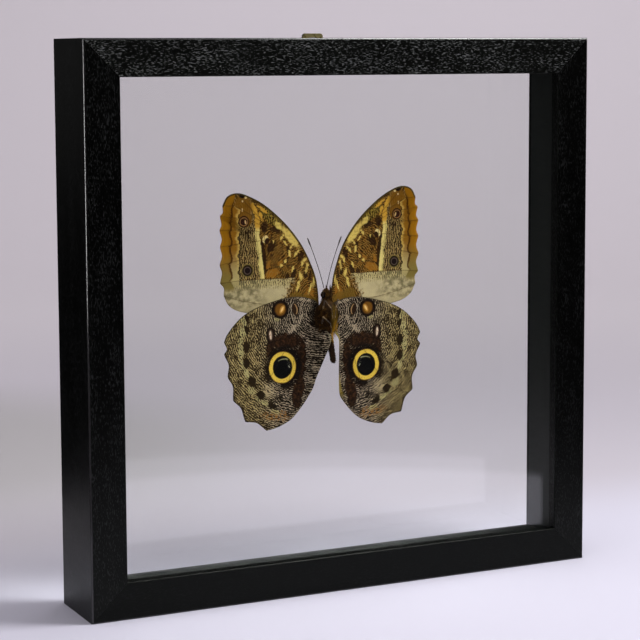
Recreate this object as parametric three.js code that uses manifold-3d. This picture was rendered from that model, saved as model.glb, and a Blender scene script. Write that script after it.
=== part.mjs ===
// Framed butterfly specimen: an owl butterfly set against the rear pane of a deep, black,
// double-glazed wooden frame, seen from its underside.
//
// Millimetres. X runs to the right, Y to the back and Z up. The origin is at the middle of the
// underside of the whole object. Inside the group every depth is counted from the front face.
import * as THREE from "three";
import { mergeVertices } from "three/addons/utils/BufferGeometryUtils.js";
import Module from "manifold-3d";

const wasm = await Module();
wasm.setup();

// Driving dimensions of the frame. It is square, so all four rails are one rail turned round.
const FRAME_SIDE = 260;
const FRAME_DEPTH = 40;
const FACE_WIDTH = 17.1; // width of the moulding seen from the front
const LIP_DEPTH = 5.3; // thickness of the front lip that holds the glass
const WALL = 8; // thickness of the rail behind the lip
const ARRIS = 0.9; // rounding of the outer long edges
const LIP_ARRIS = 0.5; // rounding of the edge beside the glass
const MITRE_GAP = 0.12; // hairline at each mitred corner
const ARRIS_STEPS = 5;

// Everything that fills the rabbet, from the front pane to the bead behind the rear pane.
const REST_GAP = 0.3; // clearance between pieces that lie against each other
const HAIRLINE = 0.05; // clearance under what is screwed or glued down
const PANE = 2; // glass thickness
const PANE_ARRIS = 0.3; // ground edge of the glass
const PANE_CLEARANCE = 0.4; // room round the glass in the rabbet
const SPACER_WIDTH = 3.3; // how far the strips between the panes stand in from the rail
const CASE_DEPTH = 26.1; // depth of those strips, which keep the panes apart
const BEAD_WIDTH = 1.5;
const BEAD_SET_BACK = 0.4; // the beads end this far short of the frame's rear edge

const frontPaneAt = LIP_DEPTH + REST_GAP;
const spacerAt = frontPaneAt + PANE + REST_GAP;
const rearPaneAt = spacerAt + CASE_DEPTH + REST_GAP;
const beadAt = rearPaneAt + PANE + REST_GAP;
const beadDepth = FRAME_DEPTH - BEAD_SET_BACK - beadAt;

// Brass loop plate on the rear edge of the top rail, with its two screws.
const LOOP_WIDTH = 10.4;
const LOOP_PROUD = 2.5; // how far the loop stands above the top of the frame
const LOOP_FOOT = 7.6; // how far the plate reaches down the rear edge
const LOOP_THICKNESS = 1.9;
const LOOP_BAR = 2;
const LOOP_CORNER = 1.5;
const LOOP_SLOT = [6.4, 4.6];
const SCREW_SPACING = 6;
const SCREW_DOWN = 5.85; // from the top of the frame to the screws
const SCREW_SHANK_R = 0.7;
const SCREW_HEAD_R = 1.35;
const SCREW_HEAD_PROUD = 0.8;
const SCREW_LENGTH = 9;
const SCREW_POINT = 2.2; // length of its tapered end
const SCREW_SIDES = 14;

const loopAt = FRAME_DEPTH + HAIRLINE;
const boxDepth = loopAt + LOOP_THICKNESS + SCREW_HEAD_PROUD;

// Driving dimensions of the butterfly. Wing points are [x from the body's middle, height above
// the table]; the left wings mirror the right ones. Each is set a little higher or lower (lift),
// and the right forewing's root stands further out (root).
const WING_THICKNESS = 0.5;
const BODY_AXIS = 0.2; // x of the body's middle
const ABDOMEN_LEAN = 2.3; // the abdomen, and the hindwings' folds with it, lean to the right
const FOREWING_DEPTH = { root: 31.2, tip: 33.3, span: 53 };
const HINDWING_DEPTH = 30.4;
const FOLD = { rise: 7.8, from: 9, to: 1, top: 125, fade: 8 }; // inner margin rolled forwards
const ROOT_REACH = 14; // how far out a shift of a wing's root is felt
const WING_RINGS = 5;
const FOREWING_SAG = 0.65; // depth of the shallow bays between the vein ends
const HINDWING_SAG = 1.5;
const BAY_STEPS = 4;

const forewing = {
  centre: [28, 156],
  leading: [
    [2.4, 132.0], [3.0, 140.5], [5.3, 149.6], [9.9, 160.0], [16.9, 170.0],
    [24.9, 178.0], [33.9, 184.5], [43.8, 188.2], [49.0, 186.7], [51.4, 182.6],
  ],
  veinEnds: [
    [51.4, 182.6], [52.7, 177.6], [53.0, 171.0], [52.9, 163.2], [53.1, 154.6],
    [52.9, 146.0], [51.2, 139.9],
  ],
  trailing: [
    [51.2, 139.9], [48.8, 135.4], [44.9, 132.7], [38.5, 131.0], [22.0, 129.4], [8.0, 128.2],
    [2.6, 127.6],
  ],
};

const hindwing = {
  centre: [27, 106],
  leading: [
    [2.2, 129.5], [4.0, 133.6], [8.0, 135.5], [14.0, 136.6], [20.3, 136.4], [28.2, 134.7],
    [36.4, 132.2], [43.0, 128.7], [48.0, 124.2], [51.0, 120.4], [52.5, 117.2],
  ],
  veinEnds: [
    [52.5, 117.2], [52.5, 111.4], [50.8, 100.6], [48.1, 89.0], [41.9, 78.4], [30.9, 73.2],
  ],
  trailing: [
    [30.9, 73.2], [25.5, 74.2], [18.6, 77.2], [13.0, 82.4], [7.9, 89.6], [5.9, 98.2],
    [4.0, 107.0], [2.1, 116.0], [2.0, 120.0], [2.0, 125.0],
  ],
};

const setting = {
  forewing_left: { of: forewing, side: -1, lift: -0.3, root: 0, depth: forewingDepth },
  forewing_right: { of: forewing, side: 1, lift: 0.3, root: 1.7, depth: forewingDepth },
  hindwing_left: { of: hindwing, side: -1, lift: 0.9, root: 0, depth: hindwingDepth },
  hindwing_right: { of: hindwing, side: 1, lift: -0.9, root: 0, depth: hindwingDepth },
};

// Body sections from the tip of the abdomen to the crown of the head:
// height, offset to the side, depth of the middle, half width, half depth.
const BODY_SECTIONS = [
  [104.9, 2.5, 25.6, 0.7, 0.7],
  [105.8, 2.4, 25.7, 1.5, 1.5],
  [108.5, 2.2, 26.0, 1.9, 2.1],
  [112.0, 1.8, 26.5, 2.1, 2.4],
  [116.0, 1.2, 27.0, 2.3, 2.7],
  [119.5, 0.7, 27.3, 2.5, 3.0],
  [121.5, 0.4, 27.0, 3.3, 4.2],
  [124.5, 0.1, 26.6, 4.3, 5.3],
  [128.5, 0.0, 26.4, 4.7, 5.7],
  [132.0, 0.0, 26.6, 4.4, 5.2],
  [134.6, 0.0, 27.3, 3.1, 3.9],
  [135.8, 0.0, 28.0, 2.1, 2.7],
  [137.2, 0.0, 28.3, 2.4, 2.7],
  [138.9, 0.0, 28.3, 2.3, 2.4],
  [140.4, 0.0, 28.4, 1.2, 1.4],
];
const BODY_SIDES = 18;
const BODY_ENDS = { tail: 0.4, crown: 0.6 }; // how far the ends bulge past the last sections
const EYE = { radius: 1.55, out: 1.75, depth: 27.7, height: 138.0 };
const PALP = { foot: [0.6, 25.6, 135.9], tip: [0.75, 25.7, 142.4], radius: 0.72 };
const GLUE = { radius: 2.4, neck: 0.8, from: 28, height: 128 }; // neck: share of the radius


// Antenna from the head over a slight bend to its club: [outwards, depth, height].
const ANTENNA = [[0.75, 29.2, 141.2], [4.0, 29.6, 152.5], [9.0, 29.8, 165.4]];
const ANTENNA_R = 0.24;
const CLUB_R = 0.42;
const CLUB = { from: 0.8, to: 0.92 }; // shares of its length between which it swells

// Walking legs folded on the breast, from hip over knee to foot: [outwards, depth, height].
const LEG_R = 0.38;
const LEGS = {
  leg_middle: [[3.4, 24.8, 131.2], [3.6, 22.6, 136.2], [1.2, 20.0, 132.2], [0.6, 19.8, 127.6]],
  leg_hind: [[4.0, 24.6, 124.6], [4.6, 22.3, 128.3], [1.6, 20.0, 124.9], [0.8, 20.9, 120.6]],
};

// Finishes as they look in daylight.
const finish = (color, roughness, metalness = 0) =>
  new THREE.MeshStandardMaterial({ color, roughness, metalness });
const blackWood = finish(0x14120f, 0.45);
const spacerBlack = finish(0x1b1d1c, 0.7);
const brass = finish(0xb08d4a, 0.35, 1);
const wingBrown = finish(0x8a6a3a, 0.85);
const hindwingGrey = finish(0x5f574a, 0.85);
const bodyFur = finish(0x4a3820, 0.95);
const chitin = finish(0x2a1d12, 0.6);
const glueClear = finish(0xd8d4c8, 0.2);
const glass = new THREE.MeshStandardMaterial({
  color: 0xe8f2ee,
  roughness: 0.05,
  transparent: true,
  opacity: 0.25,
});

const group = new THREE.Group();
group.position.y = -boxDepth / 2;

function add(name, geometry, material) {
  const mesh = new THREE.Mesh(geometry, material);
  mesh.name = name;
  group.add(mesh);
  return mesh;
}

// Exchange between three.js geometry and a solid that can be joined and cut.
function toSolid(geometry) {
  const bare = geometry.clone();
  bare.deleteAttribute("normal");
  bare.deleteAttribute("uv");
  const merged = mergeVertices(bare, 1e-4);
  return new wasm.Manifold(
    new wasm.Mesh({
      numProp: 3,
      vertProperties: merged.attributes.position.array,
      triVerts: new Uint32Array(merged.index.array),
    }),
  );
}

function toGeometry(solid) {
  const made = solid.getMesh();
  const geometry = new THREE.BufferGeometry();
  geometry.setAttribute("position", new THREE.BufferAttribute(made.vertProperties, 3));
  geometry.setIndex(new THREE.BufferAttribute(made.triVerts, 1));
  return geometry;
}

const largestPiece = (solid) =>
  solid.decompose().reduce((best, piece) => (piece.volume() > best.volume() ? piece : best));

// Closed skin over a stack of rings with the same number of points, with a pole at each end.
function skin(rings, firstPole, lastPole) {
  const sides = rings[0].length;
  const points = [firstPole, ...rings.flat(), lastPole];
  const last = points.length - 1;
  const at = (ring, i) => 1 + ring * sides + (i % sides);
  const faces = [];
  for (let i = 0; i < sides; i++) {
    faces.push([0, at(0, i + 1), at(0, i)]);
    for (let ring = 0; ring < rings.length - 1; ring++) {
      faces.push([at(ring, i), at(ring, i + 1), at(ring + 1, i + 1)]);
      faces.push([at(ring, i), at(ring + 1, i + 1), at(ring + 1, i)]);
    }
    faces.push([last, at(rings.length - 1, i), at(rings.length - 1, i + 1)]);
  }
  const geometry = new THREE.BufferGeometry();
  geometry.setAttribute("position", new THREE.Float32BufferAttribute(points.flat(), 3));
  geometry.setIndex(faces.flat());
  return geometry;
}

// A round tube along a curve whose radius follows a function of the way along it.
function taperedTube(points, radiusAt, sides, steps) {
  const curve = new THREE.CatmullRomCurve3(points.map((p) => new THREE.Vector3(...p)));
  const frames = curve.computeFrenetFrames(steps);
  const rings = [];
  for (let step = 0; step <= steps; step++) {
    const way = step / steps;
    const middle = curve.getPointAt(way);
    const ring = [];
    for (let i = 0; i < sides; i++) {
      const turn = (2 * Math.PI * i) / sides;
      const out = middle
        .clone()
        .addScaledVector(frames.normals[step], radiusAt(way) * Math.cos(turn))
        .addScaledVector(frames.binormals[step], radiusAt(way) * Math.sin(turn));
      ring.push(out.toArray());
    }
    rings.push(ring);
  }
  return skin(rings, curve.getPointAt(0).toArray(), curve.getPointAt(1).toArray());
}

// Frame: rails, spacer strips and beads are all strips with mitred ends. A section is a shape
// in [distance in from the outer face, depth], and the strip is turned about the frame's middle.
function mitredStrips(section, material, names) {
  const half = FRAME_SIDE / 2;
  const strip = new THREE.ExtrudeGeometry(section, {
    depth: FRAME_SIDE,
    bevelEnabled: false,
    curveSegments: ARRIS_STEPS,
  });
  const position = strip.attributes.position;
  for (let i = 0; i < position.count; i++) {
    const inset = position.getX(i);
    const end = half - inset - MITRE_GAP / 2;
    const along = position.getZ(i) > half ? end : -end;
    position.setXYZ(i, -along, position.getY(i), inset - half);
  }
  for (const [turn, name] of names.entries()) {
    const mesh = add(name, strip.clone(), material);
    mesh.position.z = half;
    mesh.rotation.y = (turn * Math.PI) / 2;
  }
}

function railSection() {
  const s = new THREE.Shape();
  s.moveTo(ARRIS, 0);
  s.lineTo(FACE_WIDTH - LIP_ARRIS, 0);
  s.absarc(FACE_WIDTH - LIP_ARRIS, LIP_ARRIS, LIP_ARRIS, -Math.PI / 2, 0);
  s.lineTo(FACE_WIDTH, LIP_DEPTH);
  s.lineTo(WALL, LIP_DEPTH);
  s.lineTo(WALL, FRAME_DEPTH);
  s.lineTo(ARRIS, FRAME_DEPTH);
  s.absarc(ARRIS, FRAME_DEPTH - ARRIS, ARRIS, Math.PI / 2, Math.PI);
  s.lineTo(0, ARRIS);
  s.absarc(ARRIS, ARRIS, ARRIS, Math.PI, 1.5 * Math.PI);
  return s;
}

function rectangle(x0, y0, x1, y1) {
  return new THREE.Shape([
    new THREE.Vector2(x0, y0),
    new THREE.Vector2(x1, y0),
    new THREE.Vector2(x1, y1),
    new THREE.Vector2(x0, y1),
  ]);
}

const around = (piece) => ["bottom", "left", "top", "right"].map((side) => piece + "_" + side);

mitredStrips(railSection(), blackWood, around("rail"));
const spacerOuter = WALL + REST_GAP;
mitredStrips(
  rectangle(spacerOuter, spacerAt, spacerOuter + SPACER_WIDTH, spacerAt + CASE_DEPTH),
  spacerBlack,
  around("spacer"),
);
mitredStrips(
  rectangle(spacerOuter, beadAt, spacerOuter + BEAD_WIDTH, beadAt + beadDepth),
  blackWood,
  around("bead"),
);

// Glass: a flat sheet with ground edges.
function pane(name, depth) {
  const reach = FRAME_SIDE / 2 - WALL - PANE_CLEARANCE - PANE_ARRIS;
  const sheet = new THREE.ExtrudeGeometry(rectangle(-reach, -reach, reach, reach), {
    depth: PANE - 2 * PANE_ARRIS,
    bevelThickness: PANE_ARRIS,
    bevelSize: PANE_ARRIS,
    bevelSegments: 1,
  });
  const mesh = add(name, sheet, glass);
  mesh.rotation.x = Math.PI / 2;
  mesh.position.set(0, depth + PANE - PANE_ARRIS, FRAME_SIDE / 2);
}

pane("front_pane", frontPaneAt);
pane("rear_pane", rearPaneAt);

// Brass loop plate, its screws and the pilot holes that they turn into.
function roundedRectangle(width, bottom, top, corner) {
  const s = new THREE.Shape();
  s.moveTo(-width / 2 + corner, bottom);
  s.absarc(width / 2 - corner, bottom + corner, corner, -Math.PI / 2, 0);
  s.absarc(width / 2 - corner, top - corner, corner, 0, Math.PI / 2);
  s.absarc(-width / 2 + corner, top - corner, corner, Math.PI / 2, Math.PI);
  s.absarc(-width / 2 + corner, bottom + corner, corner, Math.PI, 1.5 * Math.PI);
  return s;
}

function brassLoop() {
  const top = FRAME_SIDE + LOOP_PROUD;
  const slotTop = top - LOOP_BAR;
  const plate = roundedRectangle(LOOP_WIDTH, FRAME_SIDE - LOOP_FOOT, top, LOOP_CORNER);
  const [slotWidth, slotHeight] = LOOP_SLOT;
  plate.holes.push(roundedRectangle(slotWidth, slotTop - slotHeight, slotTop, 1));
  for (const side of [-1, 1]) {
    const hole = new THREE.Path();
    const clearance = SCREW_SHANK_R + REST_GAP;
    hole.absarc((side * SCREW_SPACING) / 2, FRAME_SIDE - SCREW_DOWN, clearance, 0, 2 * Math.PI);
    plate.holes.push(hole);
  }
  const geometry = new THREE.ExtrudeGeometry(plate, {
    depth: LOOP_THICKNESS,
    bevelEnabled: false,
    curveSegments: ARRIS_STEPS,
  });
  const mesh = add("hanging_loop", geometry, brass);
  mesh.rotation.x = Math.PI / 2;
  mesh.position.y = loopAt + LOOP_THICKNESS;
}

brassLoop();

function loopScrew(name, x) {
  const headAt = LOOP_THICKNESS + HAIRLINE;
  const headTop = LOOP_THICKNESS + SCREW_HEAD_PROUD;
  const profile = [
    [0, -SCREW_LENGTH],
    [SCREW_SHANK_R / 2, SCREW_POINT / 2 - SCREW_LENGTH],
    [SCREW_SHANK_R, SCREW_POINT - SCREW_LENGTH],
    [SCREW_SHANK_R, headAt],
    [SCREW_HEAD_R, headAt],
    [SCREW_HEAD_R * 0.86, THREE.MathUtils.lerp(headAt, headTop, 0.6)],
    [0, headTop],
  ].map((p) => new THREE.Vector2(...p));
  const mesh = add(name, new THREE.LatheGeometry(profile, SCREW_SIDES), brass);
  mesh.position.set(x, loopAt, FRAME_SIDE - SCREW_DOWN);
}

// The pilot holes are cut in the top rail, in the frame's own axes.
function drillTopRail() {
  const rail = group.getObjectByName("rail_top");
  rail.updateMatrix();
  let solid = toSolid(rail.geometry.applyMatrix4(rail.matrix));
  for (const side of [-1, 1]) {
    const radius = SCREW_SHANK_R + REST_GAP;
    const depth = SCREW_LENGTH + REST_GAP;
    const hole = new THREE.CylinderGeometry(radius, radius, depth, SCREW_SIDES);
    const x = (side * SCREW_SPACING) / 2;
    hole.translate(x, loopAt - SCREW_LENGTH + depth / 2 - REST_GAP, FRAME_SIDE - SCREW_DOWN);
    solid = solid.subtract(toSolid(hole));
  }
  rail.geometry = toGeometry(solid);
  rail.position.set(0, 0, 0);
  rail.rotation.set(0, 0, 0);
}

drillTopRail();
loopScrew("loop_screw_left", -SCREW_SPACING / 2);
loopScrew("loop_screw_right", SCREW_SPACING / 2);

// Body of the butterfly: abdomen, thorax and head in one skin, with eyes and palps.
function bodySkin(extra) {
  const ring = ([height, side, depth, halfWidth, halfDepth]) =>
    Array.from({ length: BODY_SIDES }, (_, i) => {
      const turn = (2 * Math.PI * i) / BODY_SIDES;
      return [
        BODY_AXIS + side + (halfWidth + extra) * Math.cos(turn),
        depth + (halfDepth + extra) * Math.sin(turn),
        height,
      ];
    });
  const pole = ([height, side, depth], beyond) => [BODY_AXIS + side, depth, height + beyond];
  const first = BODY_SECTIONS[0];
  const last = BODY_SECTIONS.at(-1);
  const tail = pole(first, -BODY_ENDS.tail - extra);
  const crown = pole(last, BODY_ENDS.crown + extra);
  return skin(BODY_SECTIONS.map(ring), tail, crown);
}

function wholeBody() {
  let body = toSolid(bodySkin(0));
  for (const side of [-1, 1]) {
    const eye = new THREE.SphereGeometry(EYE.radius, 12, 8);
    eye.translate(BODY_AXIS + side * EYE.out, EYE.depth, EYE.height);
    const along = [PALP.foot, PALP.tip].map(([x, y, z]) => [BODY_AXIS + side * x, y, z]);
    const palp = taperedTube(along, (way) => PALP.radius * (1 - 0.6 * way), 8, 3);
    body = body.add(toSolid(eye)).add(toSolid(palp));
  }
  return body;
}

const body = wholeBody();
const bodyRoom = toSolid(bodySkin(REST_GAP));
add("body", toGeometry(body), bodyFur);

// Clear dot of glue between the back of the thorax and the rear pane.
function glueDot() {
  const length = rearPaneAt - HAIRLINE - GLUE.from;
  const dot = new THREE.CylinderGeometry(GLUE.radius, GLUE.radius * GLUE.neck, length, 20);
  dot.translate(BODY_AXIS, GLUE.from + length / 2, GLUE.height);
  return largestPiece(toSolid(dot).subtract(bodyRoom));
}

add("glue_dot", toGeometry(glueDot()), glueClear);

// Wings: thin curved sheets with scalloped margins, cut clear of the body.
function forewingDepth(x) {
  const out = Math.min(1, Math.abs(x - BODY_AXIS) / FOREWING_DEPTH.span);
  return FOREWING_DEPTH.root + (FOREWING_DEPTH.tip - FOREWING_DEPTH.root) * out;
}

const easeBetween = (from, to, value) => {
  const way = THREE.MathUtils.clamp((value - from) / (to - from), 0, 1);
  return way * way * (3 - 2 * way);
};

// The hindwing is flat outside and rolls forwards at its inner margin, below the thorax.
function foldAmount(out, height) {
  return easeBetween(FOLD.from, FOLD.to, out) * easeBetween(FOLD.top, FOLD.top - FOLD.fade, height);
}

function hindwingDepth(x, height, out) {
  return HINDWING_DEPTH - FOLD.rise * foldAmount(out, height);
}

function sampled(points, count) {
  const curve = new THREE.CatmullRomCurve3(points.map(([x, z]) => new THREE.Vector3(x, 0, z)));
  return curve.getSpacedPoints(count).map((p) => [p.x, p.z]);
}

function bays(ends, sag, centre) {
  const points = [];
  for (let k = 0; k < ends.length - 1; k++) {
    for (let step = 0; step < BAY_STEPS; step++) {
      const way = step / BAY_STEPS;
      const point = new THREE.Vector2(...ends[k]).lerp(new THREE.Vector2(...ends[k + 1]), way);
      const inward = new THREE.Vector2(...centre).sub(point).normalize();
      points.push(point.addScaledVector(inward, sag * Math.sin(Math.PI * way)).toArray());
    }
  }
  return points;
}

function wingOutline(wing, sag) {
  return [
    ...sampled(wing.leading, 18).slice(0, -1),
    ...bays(wing.veinEnds, sag, wing.centre),
    ...sampled(wing.trailing, 12),
  ];
}

function wingSolid({ of, side, lift, root, depth }) {
  const hind = of === hindwing;
  const outline = wingOutline(of, hind ? HINDWING_SAG : FOREWING_SAG);
  if (side < 0) outline.reverse();
  const place = (p, share, face) => {
    const flat = of.centre[0] + (p[0] - of.centre[0]) * share;
    const out = flat + root * easeBetween(ROOT_REACH, 0, flat);
    const height = of.centre[1] + (p[1] - of.centre[1]) * share;
    const lean = hind ? ABDOMEN_LEAN * foldAmount(out, height) : 0;
    const x = BODY_AXIS + side * out + lean;
    return [x, depth(x, height, out) + (face * WING_THICKNESS) / 2, height + lift];
  };
  const shares = Array.from({ length: WING_RINGS }, (_, k) => (k + 1) / WING_RINGS);
  const rings = [
    ...shares.map((share) => outline.map((p) => place(p, share, -1))),
    ...shares.reverse().map((share) => outline.map((p) => place(p, share, 1))),
  ];
  const sheet = skin(rings, place(of.centre, 1, -1), place(of.centre, 1, 1));
  return largestPiece(toSolid(sheet).subtract(bodyRoom));
}

for (const [name, wing] of Object.entries(setting)) {
  const material = wing.of === forewing ? wingBrown : hindwingGrey;
  add(name, toGeometry(wingSolid(wing)), material);
}

// Antennae with clubbed tips, and the four walking legs.
const mirrored = (points, side) => points.map(([x, y, z]) => [BODY_AXIS + side * x, y, z]);

function antenna(side) {
  const radius = (way) => ANTENNA_R + (CLUB_R - ANTENNA_R) * easeBetween(CLUB.from, CLUB.to, way);
  return taperedTube(mirrored(ANTENNA, side), radius, 8, 16);
}

function leg(points, side) {
  const tube = taperedTube(mirrored(points, side), (way) => LEG_R * (1 - 0.4 * way), 8, 18);
  return largestPiece(toSolid(tube).subtract(bodyRoom));
}

for (const [side, word] of [[-1, "left"], [1, "right"]]) {
  add("antenna_" + word, antenna(side), chitin);
  for (const [name, points] of Object.entries(LEGS)) {
    add(name + "_" + word, toGeometry(leg(points, side)), chitin);
  }
}

export default group;
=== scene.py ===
# %% [markdown]
# # A framed owl butterfly
#
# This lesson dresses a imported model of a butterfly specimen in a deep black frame. The model
# brings every solid at its real size. Here they get their finishes, and the insect, which is
# only roughed out in the model, is modelled again in detail. Each step says what the thing is
# on the real object, how it could be made, and why one way was chosen.

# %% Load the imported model
import math

import bpy
import numpy as np
from mathutils import Matrix, Vector
from mathutils import noise as perlin


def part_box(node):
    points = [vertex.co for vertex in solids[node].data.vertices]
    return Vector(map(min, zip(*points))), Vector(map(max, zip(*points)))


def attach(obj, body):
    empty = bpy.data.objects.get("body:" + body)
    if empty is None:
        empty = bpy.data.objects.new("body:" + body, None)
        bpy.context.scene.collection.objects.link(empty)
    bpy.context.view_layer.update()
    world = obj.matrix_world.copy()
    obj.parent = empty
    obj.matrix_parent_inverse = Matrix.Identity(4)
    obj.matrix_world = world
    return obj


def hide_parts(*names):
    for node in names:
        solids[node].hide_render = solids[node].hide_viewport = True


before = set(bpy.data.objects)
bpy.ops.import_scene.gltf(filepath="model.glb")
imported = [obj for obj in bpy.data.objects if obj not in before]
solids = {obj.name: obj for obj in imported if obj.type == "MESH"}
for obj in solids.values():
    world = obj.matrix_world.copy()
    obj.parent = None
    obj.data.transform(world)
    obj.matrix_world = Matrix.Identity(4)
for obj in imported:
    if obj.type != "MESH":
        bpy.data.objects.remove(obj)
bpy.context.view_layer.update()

MM = 0.001

# %% [markdown]
# ## Where things are
#
# The model's axes are X to the right, Y to the back and Z up. On a picture frame it is handier
# to count depths from the front face, so one helper turns millimetres across, deep and high
# into a point of the model. The frame's own solids give the measures it needs.

# %% Measures taken from the solids
bottom_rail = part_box("rail_bottom")
FRONT = bottom_rail[0].y
SIDE = bottom_rail[1].x - bottom_rail[0].x
MIDDLE = Vector((0, 0, SIDE / 2))


def place(across, deep, high):
    """A point of the model from millimetres across, behind the front face and above the table."""
    return Vector((across * MM, FRONT + deep * MM, high * MM))


print("front face at", FRONT, "and rails", round(SIDE, 4), "long")

# %% [markdown]
# ## The camera
#
# The camera stands to the left of the frame, a little below its top edge, and looks slightly
# down. Its place and its angles were solved from the edges of the square frame. The lens
# looks past its own middle a little, which is a small shift.

# %% Camera
CAMERA_AT = Vector((-0.4134, -0.8379, 0.2518))
CAMERA_TURN = (83.981, 0.256, -26.021)
LENS = 111.03
LENS_SHIFT = (-0.0033, -0.0875)

bpy.ops.object.camera_add(location=CAMERA_AT, rotation=[math.radians(a) for a in CAMERA_TURN])
camera = bpy.context.object
camera.data.lens = LENS
camera.data.shift_x, camera.data.shift_y = LENS_SHIFT
bpy.context.scene.camera = camera
print("camera at", tuple(CAMERA_AT))

# %% [markdown]
# ## Colours
#
# Colours are easiest to judge as they look on a screen, from 0 to 255. Shaders reckon with
# light instead, so each colour is turned from the one scale to the other.


# %% Screen colours to light
def shade(red, green, blue):
    """A colour for a shader from its red, green and blue on a screen."""
    def light(value):
        value /= 255
        return value / 12.92 if value <= 0.04045 else ((value + 0.055) / 1.055) ** 2.4
    return (light(red), light(green), light(blue), 1)


print("middle grey is", round(shade(128, 128, 128)[0], 3))

# %% [markdown]
# ## Shader arithmetic
#
# A pattern is worked out from values that change over the surface, such as the distance to an
# edge. In Blender each sum is a node. A small class lets those nodes be written as ordinary
# arithmetic, so that a marking reads as a formula, and each line still makes plain nodes that
# can be looked at in the shader editor.


# %% A value that changes over the surface
def feed(tree, socket, value):
    """Links a node's input to another node, or sets the input itself."""
    if isinstance(value, Field):
        tree.links.new(value.socket, socket)
    else:
        socket.default_value = value


class Field:
    """The output of a shader node, with arithmetic."""

    def __init__(self, tree, socket):
        self.tree, self.socket = tree, socket

    def node(self, kind, settings, values, output=0):
        made = self.tree.nodes.new(kind)
        for name, setting in settings.items():
            setattr(made, name, setting)
        for name, value in values.items():
            feed(self.tree, made.inputs[name], value)
        return Field(self.tree, made.outputs[output])

    def math(self, operation, *others):
        values = {0: self, **{i + 1: other for i, other in enumerate(others)}}
        return self.node("ShaderNodeMath", {"operation": operation}, values)

    def __add__(self, other):
        return self.math("ADD", other)

    def __sub__(self, other):
        return self.math("SUBTRACT", other)

    def __mul__(self, other):
        return self.math("MULTIPLY", other)

    def __abs__(self):
        return self.math("ABSOLUTE")

    def wave(self):
        """The sine of this many turns."""
        return self.math("MULTIPLY", 2 * math.pi).math("SINE")

    def least(self, other):
        return self.math("MINIMUM", other)

    def most(self, other):
        return self.math("MAXIMUM", other)

    def rise(self, low, high):
        """0 below low, 1 above high and smooth between. It falls where low is above high."""
        values = {"Value": self, "From Min": low, "From Max": high}
        return self.node("ShaderNodeMapRange", {"interpolation_type": "SMOOTHSTEP"}, values)

    def scaled(self, *sizes):
        """This vector divided by a size along each axis."""
        values = {0: self, 1: [1 / size for size in sizes]}
        return self.node("ShaderNodeVectorMath", {"operation": "MULTIPLY"}, values)

    def noise(self, size, detail=2.0, roughness=0.5):
        """Cloudy noise round 0.5 with blobs about this size, of this vector."""
        values = {"Vector": self, "Scale": 1 / size, "Detail": detail, "Roughness": roughness}
        return self.node("ShaderNodeTexNoise", {}, values, "Fac")

    def warped(self, size, amount):
        """This vector pushed about by noise."""
        swirl = self.node("ShaderNodeTexNoise", {}, {"Vector": self, "Scale": 1 / size}, "Color")
        push = swirl.node("ShaderNodeVectorMath", {"operation": "SUBTRACT"}, {0: swirl, 1: [0.5] * 3})
        push = push.node("ShaderNodeVectorMath", {"operation": "SCALE"}, {0: push, "Scale": amount})
        return push.node("ShaderNodeVectorMath", {"operation": "ADD"}, {0: self, 1: push})

    def axis(self, name):
        return self.node("ShaderNodeSeparateXYZ", {}, {"Vector": self}, name)

    def spot(self, centre, radii, tilt=0):
        """How far out from an ellipse's centre a point is: 1 on its rim."""
        values = {
            "Vector": self,
            "Location": (*centre, 0),
            "Rotation": (0, 0, math.radians(tilt)),
            "Scale": (*radii, 1),
        }
        inside = self.node("ShaderNodeMapping", {"vector_type": "TEXTURE"}, values)
        return inside.node("ShaderNodeVectorMath", {"operation": "LENGTH"}, {0: inside}, "Value")

    def paint(self, colour, mask):
        """This colour, covered by another where the mask is 1."""
        values = {"Factor": mask, "A": self, "B": colour}
        mixer = self.tree.nodes.new("ShaderNodeMix")
        mixer.data_type = "RGBA"
        sockets = {s.name: s for s in mixer.inputs if s.enabled}
        for name, value in values.items():
            feed(self.tree, sockets[name], value)
        return Field(self.tree, next(s for s in mixer.outputs if s.enabled))

    def darkened(self, share):
        """This colour times a value."""
        values = {0: self, "Scale": share}
        return self.node("ShaderNodeVectorMath", {"operation": "SCALE"}, values)

    def tinted(self, tint):
        """This colour times another."""
        return self.node("ShaderNodeVectorMath", {"operation": "MULTIPLY"}, {0: self, 1: tint})


print("shader arithmetic ready")


# %% Where a field starts
def plain(tree, colour):
    """A single colour to paint on."""
    made = tree.nodes.new("ShaderNodeRGB")
    made.outputs[0].default_value = colour
    return Field(tree, made.outputs[0])


def object_place(tree):
    """Where a point is on the model, in millimetres."""
    made = tree.nodes.new("ShaderNodeTexCoord")
    return Field(tree, made.outputs["Object"]).scaled(MM, MM, MM)


def attribute(tree, name, output="Fac"):
    made = tree.nodes.new("ShaderNodeAttribute")
    made.attribute_name = name
    return Field(tree, made.outputs[output])


print("fields start from a colour, a place or an attribute")

# %% [markdown]
# ## Materials
#
# Every finish is one Principled BSDF. What is the same all over is set on its own sockets, and
# what changes over the surface comes in as a field. A bump is given in millimetres.


# %% A new material
def material(name, **values):
    """A material with its Principled BSDF, whose plain sockets are set."""
    made = bpy.data.materials.new(name)
    made.use_nodes = True
    shader = made.node_tree.nodes["Principled BSDF"]
    for socket, value in values.items():
        shader.inputs[socket.replace("_", " ")].default_value = value
    return made, made.node_tree, shader


def relief(tree, shader, height):
    """Raises the surface by a field in millimetres."""
    made = tree.nodes.new("ShaderNodeBump")
    made.inputs["Distance"].default_value = MM
    made.inputs["Strength"].default_value = 1
    feed(tree, made.inputs["Height"], height)
    tree.links.new(made.outputs["Normal"], shader.inputs["Normal"])


def finish_with(obj, *materials):
    obj.data.materials.clear()
    for made in materials:
        obj.data.materials.append(made)


print("ready to make materials")

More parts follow.
